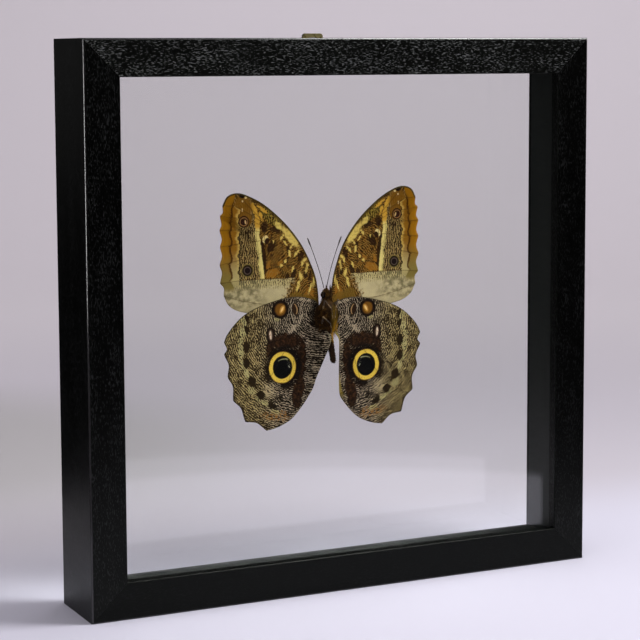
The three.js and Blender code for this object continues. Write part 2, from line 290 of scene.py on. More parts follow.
# %% [markdown]
# ## Stage and light
#
# A photographer stands such a frame on a pale sweep: a floor that curves up into a wall, so
# that no horizon shows. The sweep here is a shallow bowl, so that the view stays pale from
# every side. Black lacquer and glass show what they mirror, and the studio round the frame is
# dark. So the paper is painted near black for rays that come by a mirror, except close to the
# frame, a painted reflection of that dark studio. Its tone also shifts a little from the front
# to the wall, as light falls off, and it is painted darker behind the frame as painted shade,
# with a painted shadow of the frame further back on the left.

# %% The sweep
SWEEP_RADIUS = 2.6
SWEEP_RISE = 2.2
SWEEP_BEND = 1.3
BEND_STEPS = 12
ROUND_STEPS = 96


def turned(name, profile):
    """A bowl turned from a profile of radius and height, as part of the stage."""
    points = [
        (r * math.cos(2 * math.pi * k / ROUND_STEPS), r * math.sin(2 * math.pi * k / ROUND_STEPS), z)
        for k in range(ROUND_STEPS)
        for r, z in profile
    ]
    wide = len(profile)
    faces = []
    for k in range(ROUND_STEPS):
        after = (k + 1) % ROUND_STEPS
        for i in range(wide - 1):
            faces.append((k * wide + i, k * wide + i + 1, after * wide + i + 1, after * wide + i))
    mesh = bpy.data.meshes.new(name)
    mesh.from_pydata(points, [], faces)
    made = bpy.data.objects.new(name, mesh)
    bpy.context.collection.objects.link(made)
    mesh.shade_smooth()
    return made


bowl = [(0.0, 0.0), (SWEEP_RADIUS - SWEEP_BEND, 0.0)]
for step in range(1, BEND_STEPS + 1):
    turn = math.pi / 2 * step / BEND_STEPS
    out = SWEEP_RADIUS - SWEEP_BEND + SWEEP_BEND * math.sin(turn)
    bowl.append((out, SWEEP_BEND * (1 - math.cos(turn))))
bowl.append((SWEEP_RADIUS, SWEEP_RISE))
sweep = turned("sweep", bowl)
print("sweep", SWEEP_RADIUS, "m across its radius")


# %% Its paper
NEAR_PAPER = (0.60, 0.58, 0.675, 1)
PAINTED_SHADE_BEHIND_FRAME = (0.52, 0.485, 0.54, 1)
FAR_PAPER = (0.63, 0.585, 0.63, 1)
PAINTED_SHADOW_PAPER = (0.42, 0.40, 0.41, 1)
MIRRORED_PAPER = (0.006, 0.006, 0.006, 1)
METRE = 1000
MIRRORED_FLOOR = 0.27


def sweep_paper():
    """One tone before the frame, painted shade behind it, one far off, and a painted shadow."""
    made, tree, shader = material("sweep paper", Roughness=0.9, Specular_IOR_Level=0.2)
    at = object_place(tree)
    far = at.spot((0, 0), (METRE, METRE))
    # painted shade: the paper is painted darker behind the frame, where its shade falls
    colour = plain(tree, NEAR_PAPER).paint(PAINTED_SHADE_BEHIND_FRAME, at.axis("Y").rise(30, 160))
    colour = colour.paint(FAR_PAPER, far.rise(0.45, 1.1))
    # painted shadow: a darker patch further back on the left, where the frame's shadow falls
    painted_shadow = at.spot((-90, 400), (280, 300)).rise(1.0, 0.3)
    colour = colour.paint(PAINTED_SHADOW_PAPER, painted_shadow * 0.9)
    # painted reflection: near black where the paper is seen by a mirror, beyond the floor near the
    # frame
    path = tree.nodes.new("ShaderNodeLightPath")
    mirrored = Field(tree, path.outputs["Glossy Depth"]).least(1)
    dark = mirrored * far.rise(MIRRORED_FLOOR, MIRRORED_FLOOR + 0.03)
    feed(tree, shader.inputs["Base Color"], colour.paint(MIRRORED_PAPER, dark))
    return made


finish_with(sweep, sweep_paper())
print("paper laid")

# %% [markdown]
# A soft light high on the right gives the shadow that falls to the left behind the frame. A
# smaller one above the top rail rakes down over the face, so that the pores of the rails that
# lie across its light glint. A slim one on the left draws a line along the upright arris, and
# a dim one behind gives the sides a faint glow. Three wide ones fill the shadows and light the
# wall. They are switched off for mirror rays, because the lacquer of the real frame doesn't
# show them.


# %% Lights
def soft_light(name, at, size, watts, aim=MIDDLE, glints=True):
    bpy.ops.object.light_add(type="AREA", location=at)
    light = bpy.context.object
    light.name = name
    light.data.shape = "ELLIPSE"
    light.data.size, light.data.size_y = size
    light.data.energy = watts
    light.visible_glossy = glints
    light.visible_camera = False
    light.rotation_euler = (Vector(aim) - Vector(at)).to_track_quat("-Z", "Y").to_euler()
    return light


soft_light("key", (0.95, -0.55, 1.05), (0.5, 0.5), 4.9)
soft_light("top", (0.26, -0.17, 0.62), (0.24, 0.24), 3)
soft_light("strip", (-0.897, -0.429, 0.15), (0.055, 0.26), 0.9, aim=(-0.13, -0.02, 0.15))
soft_light("glow", (-0.5, 1.4, 0.35), (1.0, 0.5), 0.09)
soft_light("side", (-1.3, -0.9, 1.6), (1.4, 1.4), 4.5, aim=(-0.2, 0.1, 0), glints=False)
soft_light("fill", (0, 0, 2.3), (2.4, 2.4), 23, glints=False)
soft_light("back", (0.85, 1.0, 1.75), (1.0, 1.0), 16, aim=(1.05, 2.3, 0.7), glints=False)
room = bpy.data.worlds.new("room")
room.use_nodes = True
room.node_tree.nodes["Background"].inputs["Color"].default_value = (0.55, 0.55, 0.6, 1)
room.node_tree.nodes["Background"].inputs["Strength"].default_value = 0.06
bpy.context.scene.world = room
bpy.context.scene.view_settings.view_transform = "Standard"
print("lights set")

# %% [markdown]
# ## Black open-grained wood
#
# The moulding is a coarse-grained wood, stained black and lacquered satin, so that its pores
# stay open. They are short grooves along the rail, and they catch the light as bright dashes,
# which are painted in as pale painted highlights, brightest on the top rail.
# The grain could be modelled, but a pore is only a few tenths of a millimetre wide, so noise
# that is stretched along the rail does it. More than one finish uses it, so it is a node
# group, with the coordinates along the grain as its input.

# %% The grain as a node group
PORE_LENGTH = 1.6
PORE_WIDTH = 0.33
PORE_DEPTH = 0.5


def grain_group():
    group = bpy.data.node_groups.new("open grain", "ShaderNodeTree")
    group.interface.new_socket("Along", in_out="INPUT", socket_type="NodeSocketVector")
    for name in ("Pores", "Fibre"):
        group.interface.new_socket(name, in_out="OUTPUT", socket_type="NodeSocketFloat")
    start = group.nodes.new("NodeGroupInput")
    end = group.nodes.new("NodeGroupOutput")
    along = Field(group, start.outputs["Along"])
    wander = along.warped(24, 3.0)
    dashes = wander.scaled(PORE_LENGTH, PORE_WIDTH, PORE_WIDTH).noise(1, 1, 0.4)
    patches = wander.scaled(30, 7, 7).noise(1, 2)
    pores = (dashes + patches * 0.25).rise(0.72, 0.80)
    fibre = wander.scaled(9, 0.3, 0.3).noise(1, 3, 0.6)
    for name, field in (("Pores", pores), ("Fibre", fibre)):
        group.links.new(field.socket, end.inputs[name])
    return group


open_grain = grain_group()


def grain(tree, along):
    """The pores and the fibre of the grain at a point."""
    made = tree.nodes.new("ShaderNodeGroup")
    made.node_tree = open_grain
    feed(tree, made.inputs["Along"], along)
    return [Field(tree, made.outputs[name]) for name in ("Pores", "Fibre")]


print("grain group has", len(open_grain.nodes), "nodes")


# %% Black wood, with the grain along X or along Z
ARRIS_SHOWS = 0.75


def arris_mask(at):
    """1 on the outer arris of the front face, which gets a glossy coat and a painted highlight."""
    across, back, high = (at.axis(name) for name in "XYZ")
    half = SIDE / MM / 2
    edge = abs(across).most(abs(high - half)).rise(half - ARRIS_SHOWS, half - ARRIS_SHOWS * 0.8)
    return edge * back.rise(FRONT / MM + ARRIS_SHOWS, FRONT / MM + ARRIS_SHOWS * 0.8)


def black_wood(name, upright, pore_depth_and_highlight, satin):
    """Pores with painted highlights, deepest and brightest on the top rail; some rails shine more."""
    made, tree, shader = material(
        name, Specular_IOR_Level=satin, Coat_Roughness=0.1, Specular_Tint=(0.94, 1.0, 0.9, 1)
    )
    at = object_place(tree)
    arris_gloss_and_highlight = arris_mask(at)
    if upright:
        turn = {"Vector": at, "Rotation": (0, math.radians(90), 0)}
        at = at.node("ShaderNodeMapping", {}, turn)
    pores, fibre = grain(tree, at)
    pores = pores * pore_depth_and_highlight
    colour = plain(tree, shade(1, 1, 1)).paint(shade(6, 6, 5), fibre.rise(0.45, 0.8))
    # painted highlight: the pores are painted pale where the light from above catches them
    colour = colour.paint(shade(104, 106, 106), pores * 0.8)
    # painted highlight: the outer arris is painted pale grey, and it also gets a glossy coat
    feed(tree, shader.inputs["Base Color"], colour.paint(shade(40, 38, 40), arris_gloss_and_highlight))
    cloud = at.noise(40, 3)
    roughness = fibre * 0.08 + cloud * 0.1 - pores * 0.1 + 0.23
    feed(tree, shader.inputs["Roughness"], roughness)
    feed(tree, shader.inputs["Coat Weight"], arris_gloss_and_highlight * 0.9)
    relief(tree, shader, fibre * 0.06 - pores * PORE_DEPTH)
    return made


# whether a rail stands upright, how deep its pores are and how bright their painted highlights, and its
# satin
RAILS = {
    "bottom": (False, 0.04, 0.15),
    "top": (False, 1.0, 0.34),
    "left": (True, 0.14, 0.17),
    "right": (True, 0.1, 0.15),
}
for side, (upright, pore_depth_and_highlight, satin) in RAILS.items():
    wood = black_wood("black wood, " + side + " rail", upright, pore_depth_and_highlight, satin)
    finish_with(solids["rail_" + side], wood)
    finish_with(solids["bead_" + side], wood)
print(len(RAILS), "rails and their beads stained")

# %% [markdown]
# The strips that hold the two panes apart are painted matt black, and the lowest one has
# caught some dust. Grains of dust are too small to model one by one, so noise lays a few specks
# over the paint, and on the lowest strip a paler film, partly dust and partly painted light
# where its face catches the light from above. The other strips get the same paint with hardly
# any specks and no film.


# %% Matt black strips between the panes
def strip_black(name, dust_and_light):
    made, tree, shader = material(name, Specular_IOR_Level=0.5)
    at = object_place(tree)
    brushed = at.scaled(1.2, 8, 1.2).noise(1, 3)
    dust = at.noise(0.5, 2).rise(0.62, 0.75)
    dust_and_light_film = at.noise(6, 3).rise(0.2, 0.7) * dust_and_light
    colour = plain(tree, shade(8, 10, 9)).paint(shade(17, 20, 18), brushed)
    # the paler film is partly dust and partly painted light on the lowest strip's upward face
    colour = colour.paint(shade(64, 67, 64), dust_and_light_film * 0.6)
    colour = colour.paint(shade(110, 112, 106), dust * (0.1 + 0.4 * dust_and_light))
    feed(tree, shader.inputs["Base Color"], colour)
    feed(tree, shader.inputs["Roughness"], brushed * 0.15 + 0.38)
    relief(tree, shader, brushed * 0.02)
    return made


strip = strip_black("painted strip", 0.0)
for side in ("left", "top", "right"):
    finish_with(solids["spacer_" + side], strip)
finish_with(solids["spacer_bottom"], strip_black("painted strip with dust and painted light", 1.0))
print("strips painted")

# %% [markdown]
# ## Glass
#
# Each pane is clear float glass. Real glass lets the lights through to what lies behind it.
# The renderer would need very many samples to find those paths, so shadow rays pass straight
# through, and every other ray sees the true refracting glass.


# %% Clear glass
def clear(name, colour, roughness, ior):
    made, tree, shader = material(name, Base_Color=colour, Roughness=roughness, IOR=ior)
    shader.inputs["Transmission Weight"].default_value = 1
    passing = tree.nodes.new("ShaderNodeBsdfTransparent")
    passing.inputs["Color"].default_value = colour
    chooser = tree.nodes.new("ShaderNodeMixShader")
    rays = tree.nodes.new("ShaderNodeLightPath")
    tree.links.new(rays.outputs["Is Shadow Ray"], chooser.inputs[0])
    tree.links.new(shader.outputs[0], chooser.inputs[1])
    tree.links.new(passing.outputs[0], chooser.inputs[2])
    tree.links.new(chooser.outputs[0], tree.nodes["Material Output"].inputs["Surface"])
    return made


float_glass = clear("float glass", (0.991, 1.0, 0.994, 1), 0.0, 1.5)
for pane in ("front_pane", "rear_pane"):
    finish_with(solids[pane], float_glass)
dried_glue = clear("dried glue", (0.93, 0.92, 0.88, 1), 0.12, 1.47)
finish_with(solids["glue_dot"], dried_glue)
print("panes and glue are clear")

# %% [markdown]
# The hanging loop and its screws are pressed brass. A metal has no colour but that of what it
# mirrors, so its tone goes into its reflections. It has tarnished in patches, where it is
# browner and duller, and fine scratches run along it.


# %% Brass
def tarnished_brass():
    made, tree, shader = material("tarnished brass", Metallic=1.0)
    at = object_place(tree)
    cloud = at.noise(1.6, 4, 0.6)
    scratches = at.scaled(5, 0.1, 0.1).noise(1, 2)
    colour = plain(tree, shade(244, 226, 160)).paint(shade(120, 96, 50), cloud.rise(0.5, 0.7))
    feed(tree, shader.inputs["Base Color"], colour)
    feed(tree, shader.inputs["Roughness"], cloud * 0.3 + scratches * 0.15 + 0.12)
    relief(tree, shader, scratches * 0.02 + cloud * 0.02)
    return made


brass = tarnished_brass()
for part in ("hanging_loop", "loop_screw_left", "loop_screw_right"):
    finish_with(solids[part], brass)
print("brass on the loop and its screws")

# %% [markdown]
# ## Modelling by hand
#
# New pieces start as a primitive that is shaped in edit mode. An operator acts on all that is
# selected, so each piece starts with nothing selected, and edges and faces are picked in code.


# %% Helpers for modelling
def fresh(add, **settings):
    """Adds a primitive with nothing else selected, and returns its object."""
    bpy.ops.object.select_all(action="DESELECT")
    add(**settings)
    return bpy.context.object


def make_active(obj):
    bpy.ops.object.select_all(action="DESELECT")
    obj.select_set(True)
    bpy.context.view_layer.objects.active = obj


def modify(obj, kind, **settings):
    """Adds a modifier and applies it."""
    made = obj.modifiers.new(kind.title(), kind)
    for name, value in settings.items():
        setattr(made, name, value)
    make_active(obj)
    bpy.ops.object.modifier_apply(modifier=made.name)


def edit(obj, *steps):
    """Runs operators on everything in edit mode."""
    make_active(obj)
    bpy.ops.object.mode_set(mode="EDIT")
    bpy.ops.mesh.select_all(action="SELECT")
    for step in steps:
        step()
    bpy.ops.object.mode_set(mode="OBJECT")


def outwards(obj):
    edit(obj, bpy.ops.mesh.normals_make_consistent)


def subdivide_edges(obj, chosen, cuts):
    """Cuts only the edges that chosen picks out, so the faces beside them become strips."""
    make_active(obj)
    bpy.ops.object.mode_set(mode="EDIT")
    bpy.ops.mesh.select_mode(type="EDGE")
    bpy.ops.mesh.select_all(action="DESELECT")
    bpy.ops.object.mode_set(mode="OBJECT")
    for line in obj.data.edges:
        line.select = chosen(line)
    bpy.ops.object.mode_set(mode="EDIT")
    bpy.ops.mesh.subdivide(number_cuts=cuts)
    bpy.ops.mesh.select_mode(type="VERT")
    bpy.ops.object.mode_set(mode="OBJECT")


print("ready to edit meshes")


# %% Helpers for points, joined pieces and tubes
def points_of(obj):
    found = np.empty(len(obj.data.vertices) * 3)
    obj.data.vertices.foreach_get("co", found)
    return found.reshape(-1, 3)


def move_points(obj, points):
    obj.data.vertices.foreach_set("co", np.ascontiguousarray(points, float).ravel())
    obj.data.update()


def join(pieces, name):
    make_active(pieces[0])
    for piece in pieces[1:]:
        piece.select_set(True)
    if len(pieces) > 1:
        bpy.ops.object.join()
    made = bpy.context.object
    made.name = made.data.name = name
    return made


def tube(points, radii, sides=8, smooth=6):
    """A closed round tube drawn as a curve, with its own radius at every point."""
    data = bpy.data.curves.new("tube", "CURVE")
    data.dimensions = "3D"
    data.bevel_depth = 1
    data.bevel_resolution = max(0, sides // 4 - 1)
    data.use_fill_caps = True
    data.resolution_u = smooth
    spline = data.splines.new("BEZIER")
    spline.bezier_points.add(len(points) - 1)
    for knot, point, radius in zip(spline.bezier_points, points, radii):
        knot.co = point
        knot.radius = radius
        knot.handle_left_type = knot.handle_right_type = "AUTO"
    drawn = bpy.data.objects.new("tube", data)
    bpy.context.collection.objects.link(drawn)
    make_active(drawn)
    bpy.ops.object.convert(target="MESH")
    made = bpy.context.object
    edit(made, lambda: bpy.ops.mesh.remove_doubles(threshold=1e-5))
    return made


def settle(obj, node):
    """Puts a finished piece in place of its solid: it rides on the frame's one body."""
    obj.data.shade_smooth()
    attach(obj, "root")
    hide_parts(node)
    print(obj.name, "has", len(obj.data.polygons), "faces")


print("ready to join pieces and settle them")

# %% [markdown]
# ## The wings
#
# A butterfly's wing is a dry sheet, a tenth of a millimetre thick, held out by stiff veins
# that spread from its root to the points of its scalloped edge. A collector sets it on a flat
# board. This lesson does the same: each wing is modelled flat, in millimetres out from the
# body and up from the table, with its veins on it, and only then set to its depth, with the
# hindwing's inner margin rolled forwards. Both sides are set from one flat wing.

# %% Outlines of the wings
BODY_AXIS = 0.2
ABDOMEN_LEAN = 2.3
FOREWING_DEPTH = {"root": 31.2, "tip": 33.3, "span": 53}
HINDWING_DEPTH = 30.4
FOLD = {"rise": 7.8, "from": 9, "to": 1, "top": 125, "fade": 8}
ROOT_REACH = 14
SHEET = 0.3
BAY_STEPS = 14

FOREWING = {
    "root": (3, 133),
    "centre": (28, 156),
    "sag": 1.1,
    "leading": [
        (2.4, 132.0), (3.0, 140.5), (5.3, 149.6), (9.9, 160.0), (16.9, 170.0),
        (24.9, 178.0), (33.9, 184.5), (43.8, 188.2), (49.0, 186.7), (51.4, 182.6),
    ],
    "vein_ends": [
        (51.4, 182.6), (52.7, 177.6), (53.0, 171.0), (52.9, 163.2), (53.1, 154.6),
        (52.9, 146.0), (51.2, 139.9),
    ],
    "trailing": [
        (51.2, 139.9), (48.8, 135.4), (44.9, 132.7), (38.5, 131.0), (22.0, 129.4),
        (8.0, 128.2), (2.6, 127.6),
    ],
    "veins": [
        [(3, 134), (4.2, 146), (9.5, 158.3), (17, 168.9), (25.5, 177.3), (33, 182.9)],
        [(3, 134), (6.2, 146), (12, 156.5), (20, 166), (28.5, 172.3)],
        [(28.5, 172.3), (36, 179.6), (43.5, 187.2)],
        [(28.5, 172.3), (39, 178.8), (46, 182), (51.4, 182.6)],
        [(29, 171.5), (40, 175.6), (52.7, 177.6)],
        [(30.1, 169.2), (41, 170.9), (53.0, 171.0)],
        [(30.5, 165.5), (41, 164.6), (52.9, 163.2)],
        [(29, 160.2), (40, 157.2), (53.1, 154.6)],
        [(3, 133), (8, 139.5), (13.5, 143.8), (18.3, 146.3), (28, 146.9), (40, 147), (52.9, 146)],
        [(18.3, 146.3), (24, 152), (29, 160.2), (30.5, 165.5), (30.1, 169.2), (28.5, 172.3)],
        [(3, 132), (12, 133.6), (28, 134.6), (40, 136.6), (51.2, 139.9)],
    ],
}
HINDWING = {
    "root": (3, 130),
    "centre": (27, 106),
    "sag": 1.5,
    "leading": [
        (2.2, 129.5), (4.0, 133.6), (8.0, 135.5), (14.0, 136.6), (20.3, 136.4), (28.2, 134.7),
        (36.4, 132.2), (43.0, 128.7), (48.0, 124.2), (51.0, 120.4), (52.5, 117.2),
    ],
    "vein_ends": [
        (52.5, 117.2), (52.5, 111.4), (50.8, 100.6), (48.1, 89.0), (41.9, 78.4), (30.9, 73.2),
    ],
    "trailing": [
        (30.9, 73.2), (25.5, 74.2), (18.6, 77.2), (13.0, 82.4), (7.9, 89.6), (5.9, 98.2),
        (4.0, 107.0), (2.1, 116.0), (2.0, 120.0), (2.0, 125.0),
    ],
    "veins": [
        [(3, 130.5), (9, 133.8), (18, 134.8), (30, 132.6), (42, 127.4), (50, 121)],
        [(3, 130), (12, 128.2), (27, 124.6), (40, 120.2), (52.5, 117.2)],
        [(27, 124.6), (40, 115.6), (52.5, 111.4)],
        [(28.2, 119.6), (40, 108.3), (50.8, 100.6)],
        [(26.6, 114.4), (37.5, 100.5), (48.1, 89.0)],
        [(21, 111.4), (31.4, 94.6), (41.9, 78.4)],
        [(14, 114), (20.6, 92.8), (30.9, 73.2)],
        [(3, 129), (8, 120.3), (14, 114), (21, 111.4), (26.6, 114.4), (28.2, 119.6), (27, 124.6)],
        [(3, 129), (8.4, 112), (10.8, 93), (18.6, 77.2)],
        [(3, 128), (4.6, 117), (5.6, 104)],
    ],
}
print(len(FOREWING["veins"]), "veins in a forewing,", len(HINDWING["veins"]), "in a hindwing")


# %% Smooth lines through the knots
def curve_through(points, count):
    """Evenly spaced points on a smooth centripetal curve through some knots."""
    knots = [np.array(p, float) for p in points]
    knots = [2 * knots[0] - knots[1], *knots, 2 * knots[-1] - knots[-2]]
    fine = []
    for a, b, c, d in zip(knots, knots[1:], knots[2:], knots[3:]):
        t = np.cumsum([0] + [max(1e-4, np.hypot(*(q - p))) ** 0.5 for p, q in ((a, b), (b, c), (c, d))])
        for now in np.linspace(t[1], t[2], 40, endpoint=False):
            level = [a, b, c, d]
            for span in (1, 2):
                level = [
                    ((t[i + span] - now) * low + (now - t[i]) * high) / (t[i + span] - t[i])
                    for i, (low, high) in enumerate(zip(level, level[1:]))
                ]
            low, high = level
            fine.append(((t[2] - now) * low + (now - t[1]) * high) / (t[2] - t[1]))
    fine = np.array(fine + [knots[-2]])
    way = np.concatenate([[0], np.cumsum(np.hypot(*np.diff(fine, axis=0).T))])
    even = np.linspace(0, way[-1], count)
    return np.column_stack([np.interp(even, way, fine[:, k]) for k in (0, 1)])


print("knots can be joined")

# %% The scalloped margin and the whole outline
ROUNDED = 1.6


def scallops(wing):
    """The outer margin, which sags towards the wing's centre between the vein ends."""
    centre = np.array(wing["centre"], float)
    points = []
    for start, end in zip(wing["vein_ends"], wing["vein_ends"][1:]):
        for step in range(BAY_STEPS):
            way = step / BAY_STEPS
            point = np.array(start) * (1 - way) + np.array(end) * way
            inward = (centre - point) / np.hypot(*(centre - point))
            points.append(point + inward * wing["sag"] * math.sin(math.pi * way) ** ROUNDED)
    return np.array(points + [wing["vein_ends"][-1]])


for wing in (FOREWING, HINDWING):
    wing["leading_line"] = curve_through(wing["leading"], 100)
    wing["margin_line"] = scallops(wing)
    wing["trailing_line"] = curve_through(wing["trailing"], 90)
    parts = [wing["leading_line"][:-1], wing["margin_line"][:-1], wing["trailing_line"]]
    wing["outline"] = np.concatenate(parts)
    wing["vein_lines"] = [curve_through(vein, 14) for vein in wing["veins"]]
    print("outline of", len(wing["outline"]), "points and", len(wing["vein_lines"]), "veins")

# %% [markdown]
# The sheet starts as a circle that is filled with triangles round its middle. Its rim is moved
# onto the outline, and its spokes are subdivided, which gives rings that follow the edge. A
# Solidify modifier gives the sheet its thickness, a little more than in life, so that its two
# faces stay well apart. The veins are drawn as thin curves through the middle of the sheet, so
# that they stand out on both faces.

# %% A flat wing with its veins
RINGS = 44
VEIN_RADIUS = (0.3, 0.19)


def flat_wing(name, wing):
    outline = wing["outline"]
    sheet = fresh(
        bpy.ops.mesh.primitive_circle_add, vertices=len(outline), radius=1, fill_type="TRIFAN"
    )
    points = points_of(sheet)
    middle = int(np.argmin(np.hypot(points[:, 0], points[:, 1])))
    rim = [i for i in range(len(points)) if i != middle]
    points[rim, :2] = outline
    points[middle, :2] = wing["centre"]
    move_points(sheet, points)
    subdivide_edges(sheet, lambda spoke: middle in spoke.vertices, RINGS)
    modify(sheet, "SOLIDIFY", thickness=SHEET, offset=0)
    veins = []
    for line in wing["vein_lines"]:
        thick = np.linspace(*VEIN_RADIUS, len(line))
        veins.append(tube([(x, y, 0) for x, y in line], thick, sides=8, smooth=2))
    return join([sheet, *veins], name)


flat_wings = {
    "forewing": flat_wing("forewing", FOREWING),
    "hindwing": flat_wing("hindwing", HINDWING),
}
print({name: len(obj.data.vertices) for name, obj in flat_wings.items()}, "points")

# %% [markdown]
# ## Measures for the markings
#
# An owl butterfly's pattern follows the wing: ripples run in rings round the root, bands
# follow the scalloped edge and stop at veins. So each point of the sheet learns, while it is
# still flat, how far it is from the outer margin, the leading edge, the nearest vein and the
# root. The shaders draw every marking from these measures, so they stay crisp at any size.


# %% Distances over the flat wing
def distance_to_line(points, line):
    """How far points are from a line, and where along it, counted in its points."""
    best = np.full(len(points), 1e9)
    along = np.zeros(len(points))
    for i, (a, b) in enumerate(zip(line, line[1:])):
        span = b - a
        way = np.clip((points - a) @ span / max(span @ span, 1e-9), 0, 1)
        gap = np.hypot(*(points - a - way[:, None] * span).T)
        closer = gap < best
        best[closer] = gap[closer]
        along[closer] = (i + way)[closer]
    return best, along


def store(obj, name, values):
    made = obj.data.attributes.new(name, "FLOAT", "POINT")
    made.data.foreach_set("value", np.ascontiguousarray(values, np.float32))


def measure(obj, wing):
    flat = points_of(obj)[:, :2]
    margin, along = distance_to_line(flat, wing["margin_line"])
    store(obj, "margin", margin)
    store(obj, "bay", along / BAY_STEPS)
    store(obj, "leading", distance_to_line(flat, wing["leading_line"])[0])
    nearest = np.min([distance_to_line(flat, line)[0] for line in wing["vein_lines"]], axis=0)
    store(obj, "vein", nearest)
    store(obj, "reach", np.hypot(*(flat - np.array(wing["root"])).T))
    store(obj, "fringe", distance_to_line(flat, wing["trailing_line"])[0])
    made = obj.data.attributes.new("flat", "FLOAT_VECTOR", "POINT")
    spread = np.column_stack([flat, np.zeros(len(flat))])
    made.data.foreach_set("vector", np.ascontiguousarray(spread, np.float32).ravel())
    return nearest, margin


print("distances ready")

# %% [markdown]
# A dried wing isn't quite flat. It thins towards its edge, stands forward in a low ridge at
# each vein, and buckles a little as it dries. Once a sheet is measured, its points are moved
# by these distances, which keeps each ridge on its vein.

# %% Measure the sheets, then shape them
THIN_EDGE = 1.5
VEIN_RIDGE = 0.16
RIDGE_WIDTH = 1.3
BUCKLE = 0.3
BUCKLE_SIZE = 13

for name, wing in (("forewing", FOREWING), ("hindwing", HINDWING)):
    sheet = flat_wings[name]
    nearest, margin = measure(sheet, wing)
    points = points_of(sheet)
    points[:, 2] *= 0.5 + 0.5 * np.clip(margin / THIN_EDGE, 0, 1)
    points[:, 2] -= VEIN_RIDGE * np.exp(-((nearest / RIDGE_WIDTH) ** 2))
    buckle = [perlin.noise(Vector((x / BUCKLE_SIZE, y / BUCKLE_SIZE, 3))) for x, y, _ in points]
    points[:, 2] += BUCKLE * np.array(buckle)
    move_points(sheet, points)
    print(name, "measured, widest cell", round(float(nearest.max()), 1), "mm")

# %% [markdown]
# ## Setting the wings
#
# The forewings lie a little deeper at their tips than at their roots. The hindwings are flat
# outside, and their inner margins roll forwards on both sides of the abdomen, which leans to
# the right and takes the folds with it. Each wing was set a little higher or lower.
# The olive fringe of the inner margin shows on the right side only, so on the left its
# distance is set so large that nothing is painted there.

# %% Set the four wings
# the flat wing, its side, how much higher it is set, and how far its root is drawn out
SETTING = {
    "forewing_left": ("forewing", -1, -0.3, 0),
    "forewing_right": ("forewing", 1, 0.3, 1.7),
    "hindwing_left": ("hindwing", -1, 0.9, 0),
    "hindwing_right": ("hindwing", 1, -0.9, 0),
}
HIDDEN = 99.0


def ease(start, end, value):
    """0 at start and before, 1 at end and beyond, smooth between."""
    way = np.clip((value - start) / (end - start), 0, 1)
    return way * way * (3 - 2 * way)


def folded(out, height):
    """How far the inner margin of the hindwing is rolled forwards, from 0 to 1."""
    return ease(FOLD["from"], FOLD["to"], out) * ease(FOLD["top"], FOLD["top"] - FOLD["fade"], height)


def set_points(flat, kind, side, lift, root):
    out = flat[:, 0] + root * ease(ROOT_REACH, 0, flat[:, 0])
    height = flat[:, 1]
    if kind == "hindwing":
        fold = folded(out, height)
        across = BODY_AXIS + side * out + ABDOMEN_LEAN * fold
        deep = HINDWING_DEPTH - FOLD["rise"] * fold
    else:
        across = BODY_AXIS + side * out
        share = np.minimum(1, out / FOREWING_DEPTH["span"])
        deep = FOREWING_DEPTH["root"] + (FOREWING_DEPTH["tip"] - FOREWING_DEPTH["root"]) * share
    shift = np.array(place(0, 0, 0))
    return np.column_stack([across, deep + flat[:, 2], height + lift]) * MM + shift


wings = {}
for name, (kind, side, lift, root) in SETTING.items():
    piece = flat_wings[kind].copy()
    piece.data = flat_wings[kind].data.copy()
    piece.name = piece.data.name = name + "_set"
    bpy.context.collection.objects.link(piece)
    move_points(piece, set_points(points_of(piece), kind, side, lift, root))
    outwards(piece)
    if side < 0:
        rolled_under = np.full(len(piece.data.vertices), HIDDEN)
        piece.data.attributes["fringe"].data.foreach_set("value", rolled_under)
    wings[name] = piece
for flat in flat_wings.values():
    bpy.data.objects.remove(flat)
print("set", ", ".join(wings))

# %% [markdown]
# ## Markings
#
# The underside imitates bark and an owl's eyes. Ripples, bands and rings come from the
# measures above. Blotches are ellipses with their places and sizes in millimetres, pushed
# about by noise until they look grown. One list holds the blotches of one colour.


# %% Blotches, ripples and eyespots
def blotches(at, marks, soft=0.14):
    """1 inside any of the ellipses, 0 outside, with soft rims."""
    nearest = None
    for centre, radii, tilt in marks:
        far = at.spot(centre, radii, tilt)
        nearest = far if nearest is None else nearest.least(far)
    return nearest.rise(1 + soft, 1 - soft)


def ripples(flat, travel, period, bright=0.0, wander=1.5):
    """Broken wavy lines across the direction of travel: 1 on a line, 0 between.

    The lines wander and fork, swell and break off, as they do where the scales of a wing
    are coloured one by one. More of the wing is bright where bright is above 0.
    """
    turns = travel * (1 / period) + flat.noise(7, 1) * wander + flat.noise(2.2, 3, 0.6) * 2.6
    breaks = (flat.noise(0.9, 2, 0.6) - 0.5) * 3.4 + (flat.noise(3.6, 1) - 0.5) * 1.8
    return (turns.wave() * 0.8 + breaks + bright).rise(-0.1, 0.5)


def ringed(colour, at, centre, rings, tilt=0):
    """Paints concentric ellipses, the largest first."""
    for radii, tone in rings:
        far = at.spot(centre, radii, tilt)
        soft = 0.14 / min(radii)
        colour = colour.paint(tone, far.rise(1 + soft, 1 - soft))
    return colour


AGED = (0.97, 0.88, 0.72)


def scaly(tree, shader, flat, colour, vein):
    """The dusting of scales, yellowed with age, and the relief of the veins."""
    dust = flat.noise(0.2, 2, 0.7)
    colour = colour.darkened(dust * 0.7 + 0.65).tinted(AGED)
    feed(tree, shader.inputs["Base Color"], colour)
    feed(tree, shader.inputs["Roughness"], dust * 0.2 + 0.62)
    relief(tree, shader, dust * 0.05 + vein.rise(0.5, 0.1) * 0.05)


print("markings ready")

# %% [markdown]
# The forewing has two ochre bands along its scalloped margin, a cream band across its middle,
# a dark marbled disc inside that, and a bare grey-cream area at the back, where the hindwing
# covers it in life.

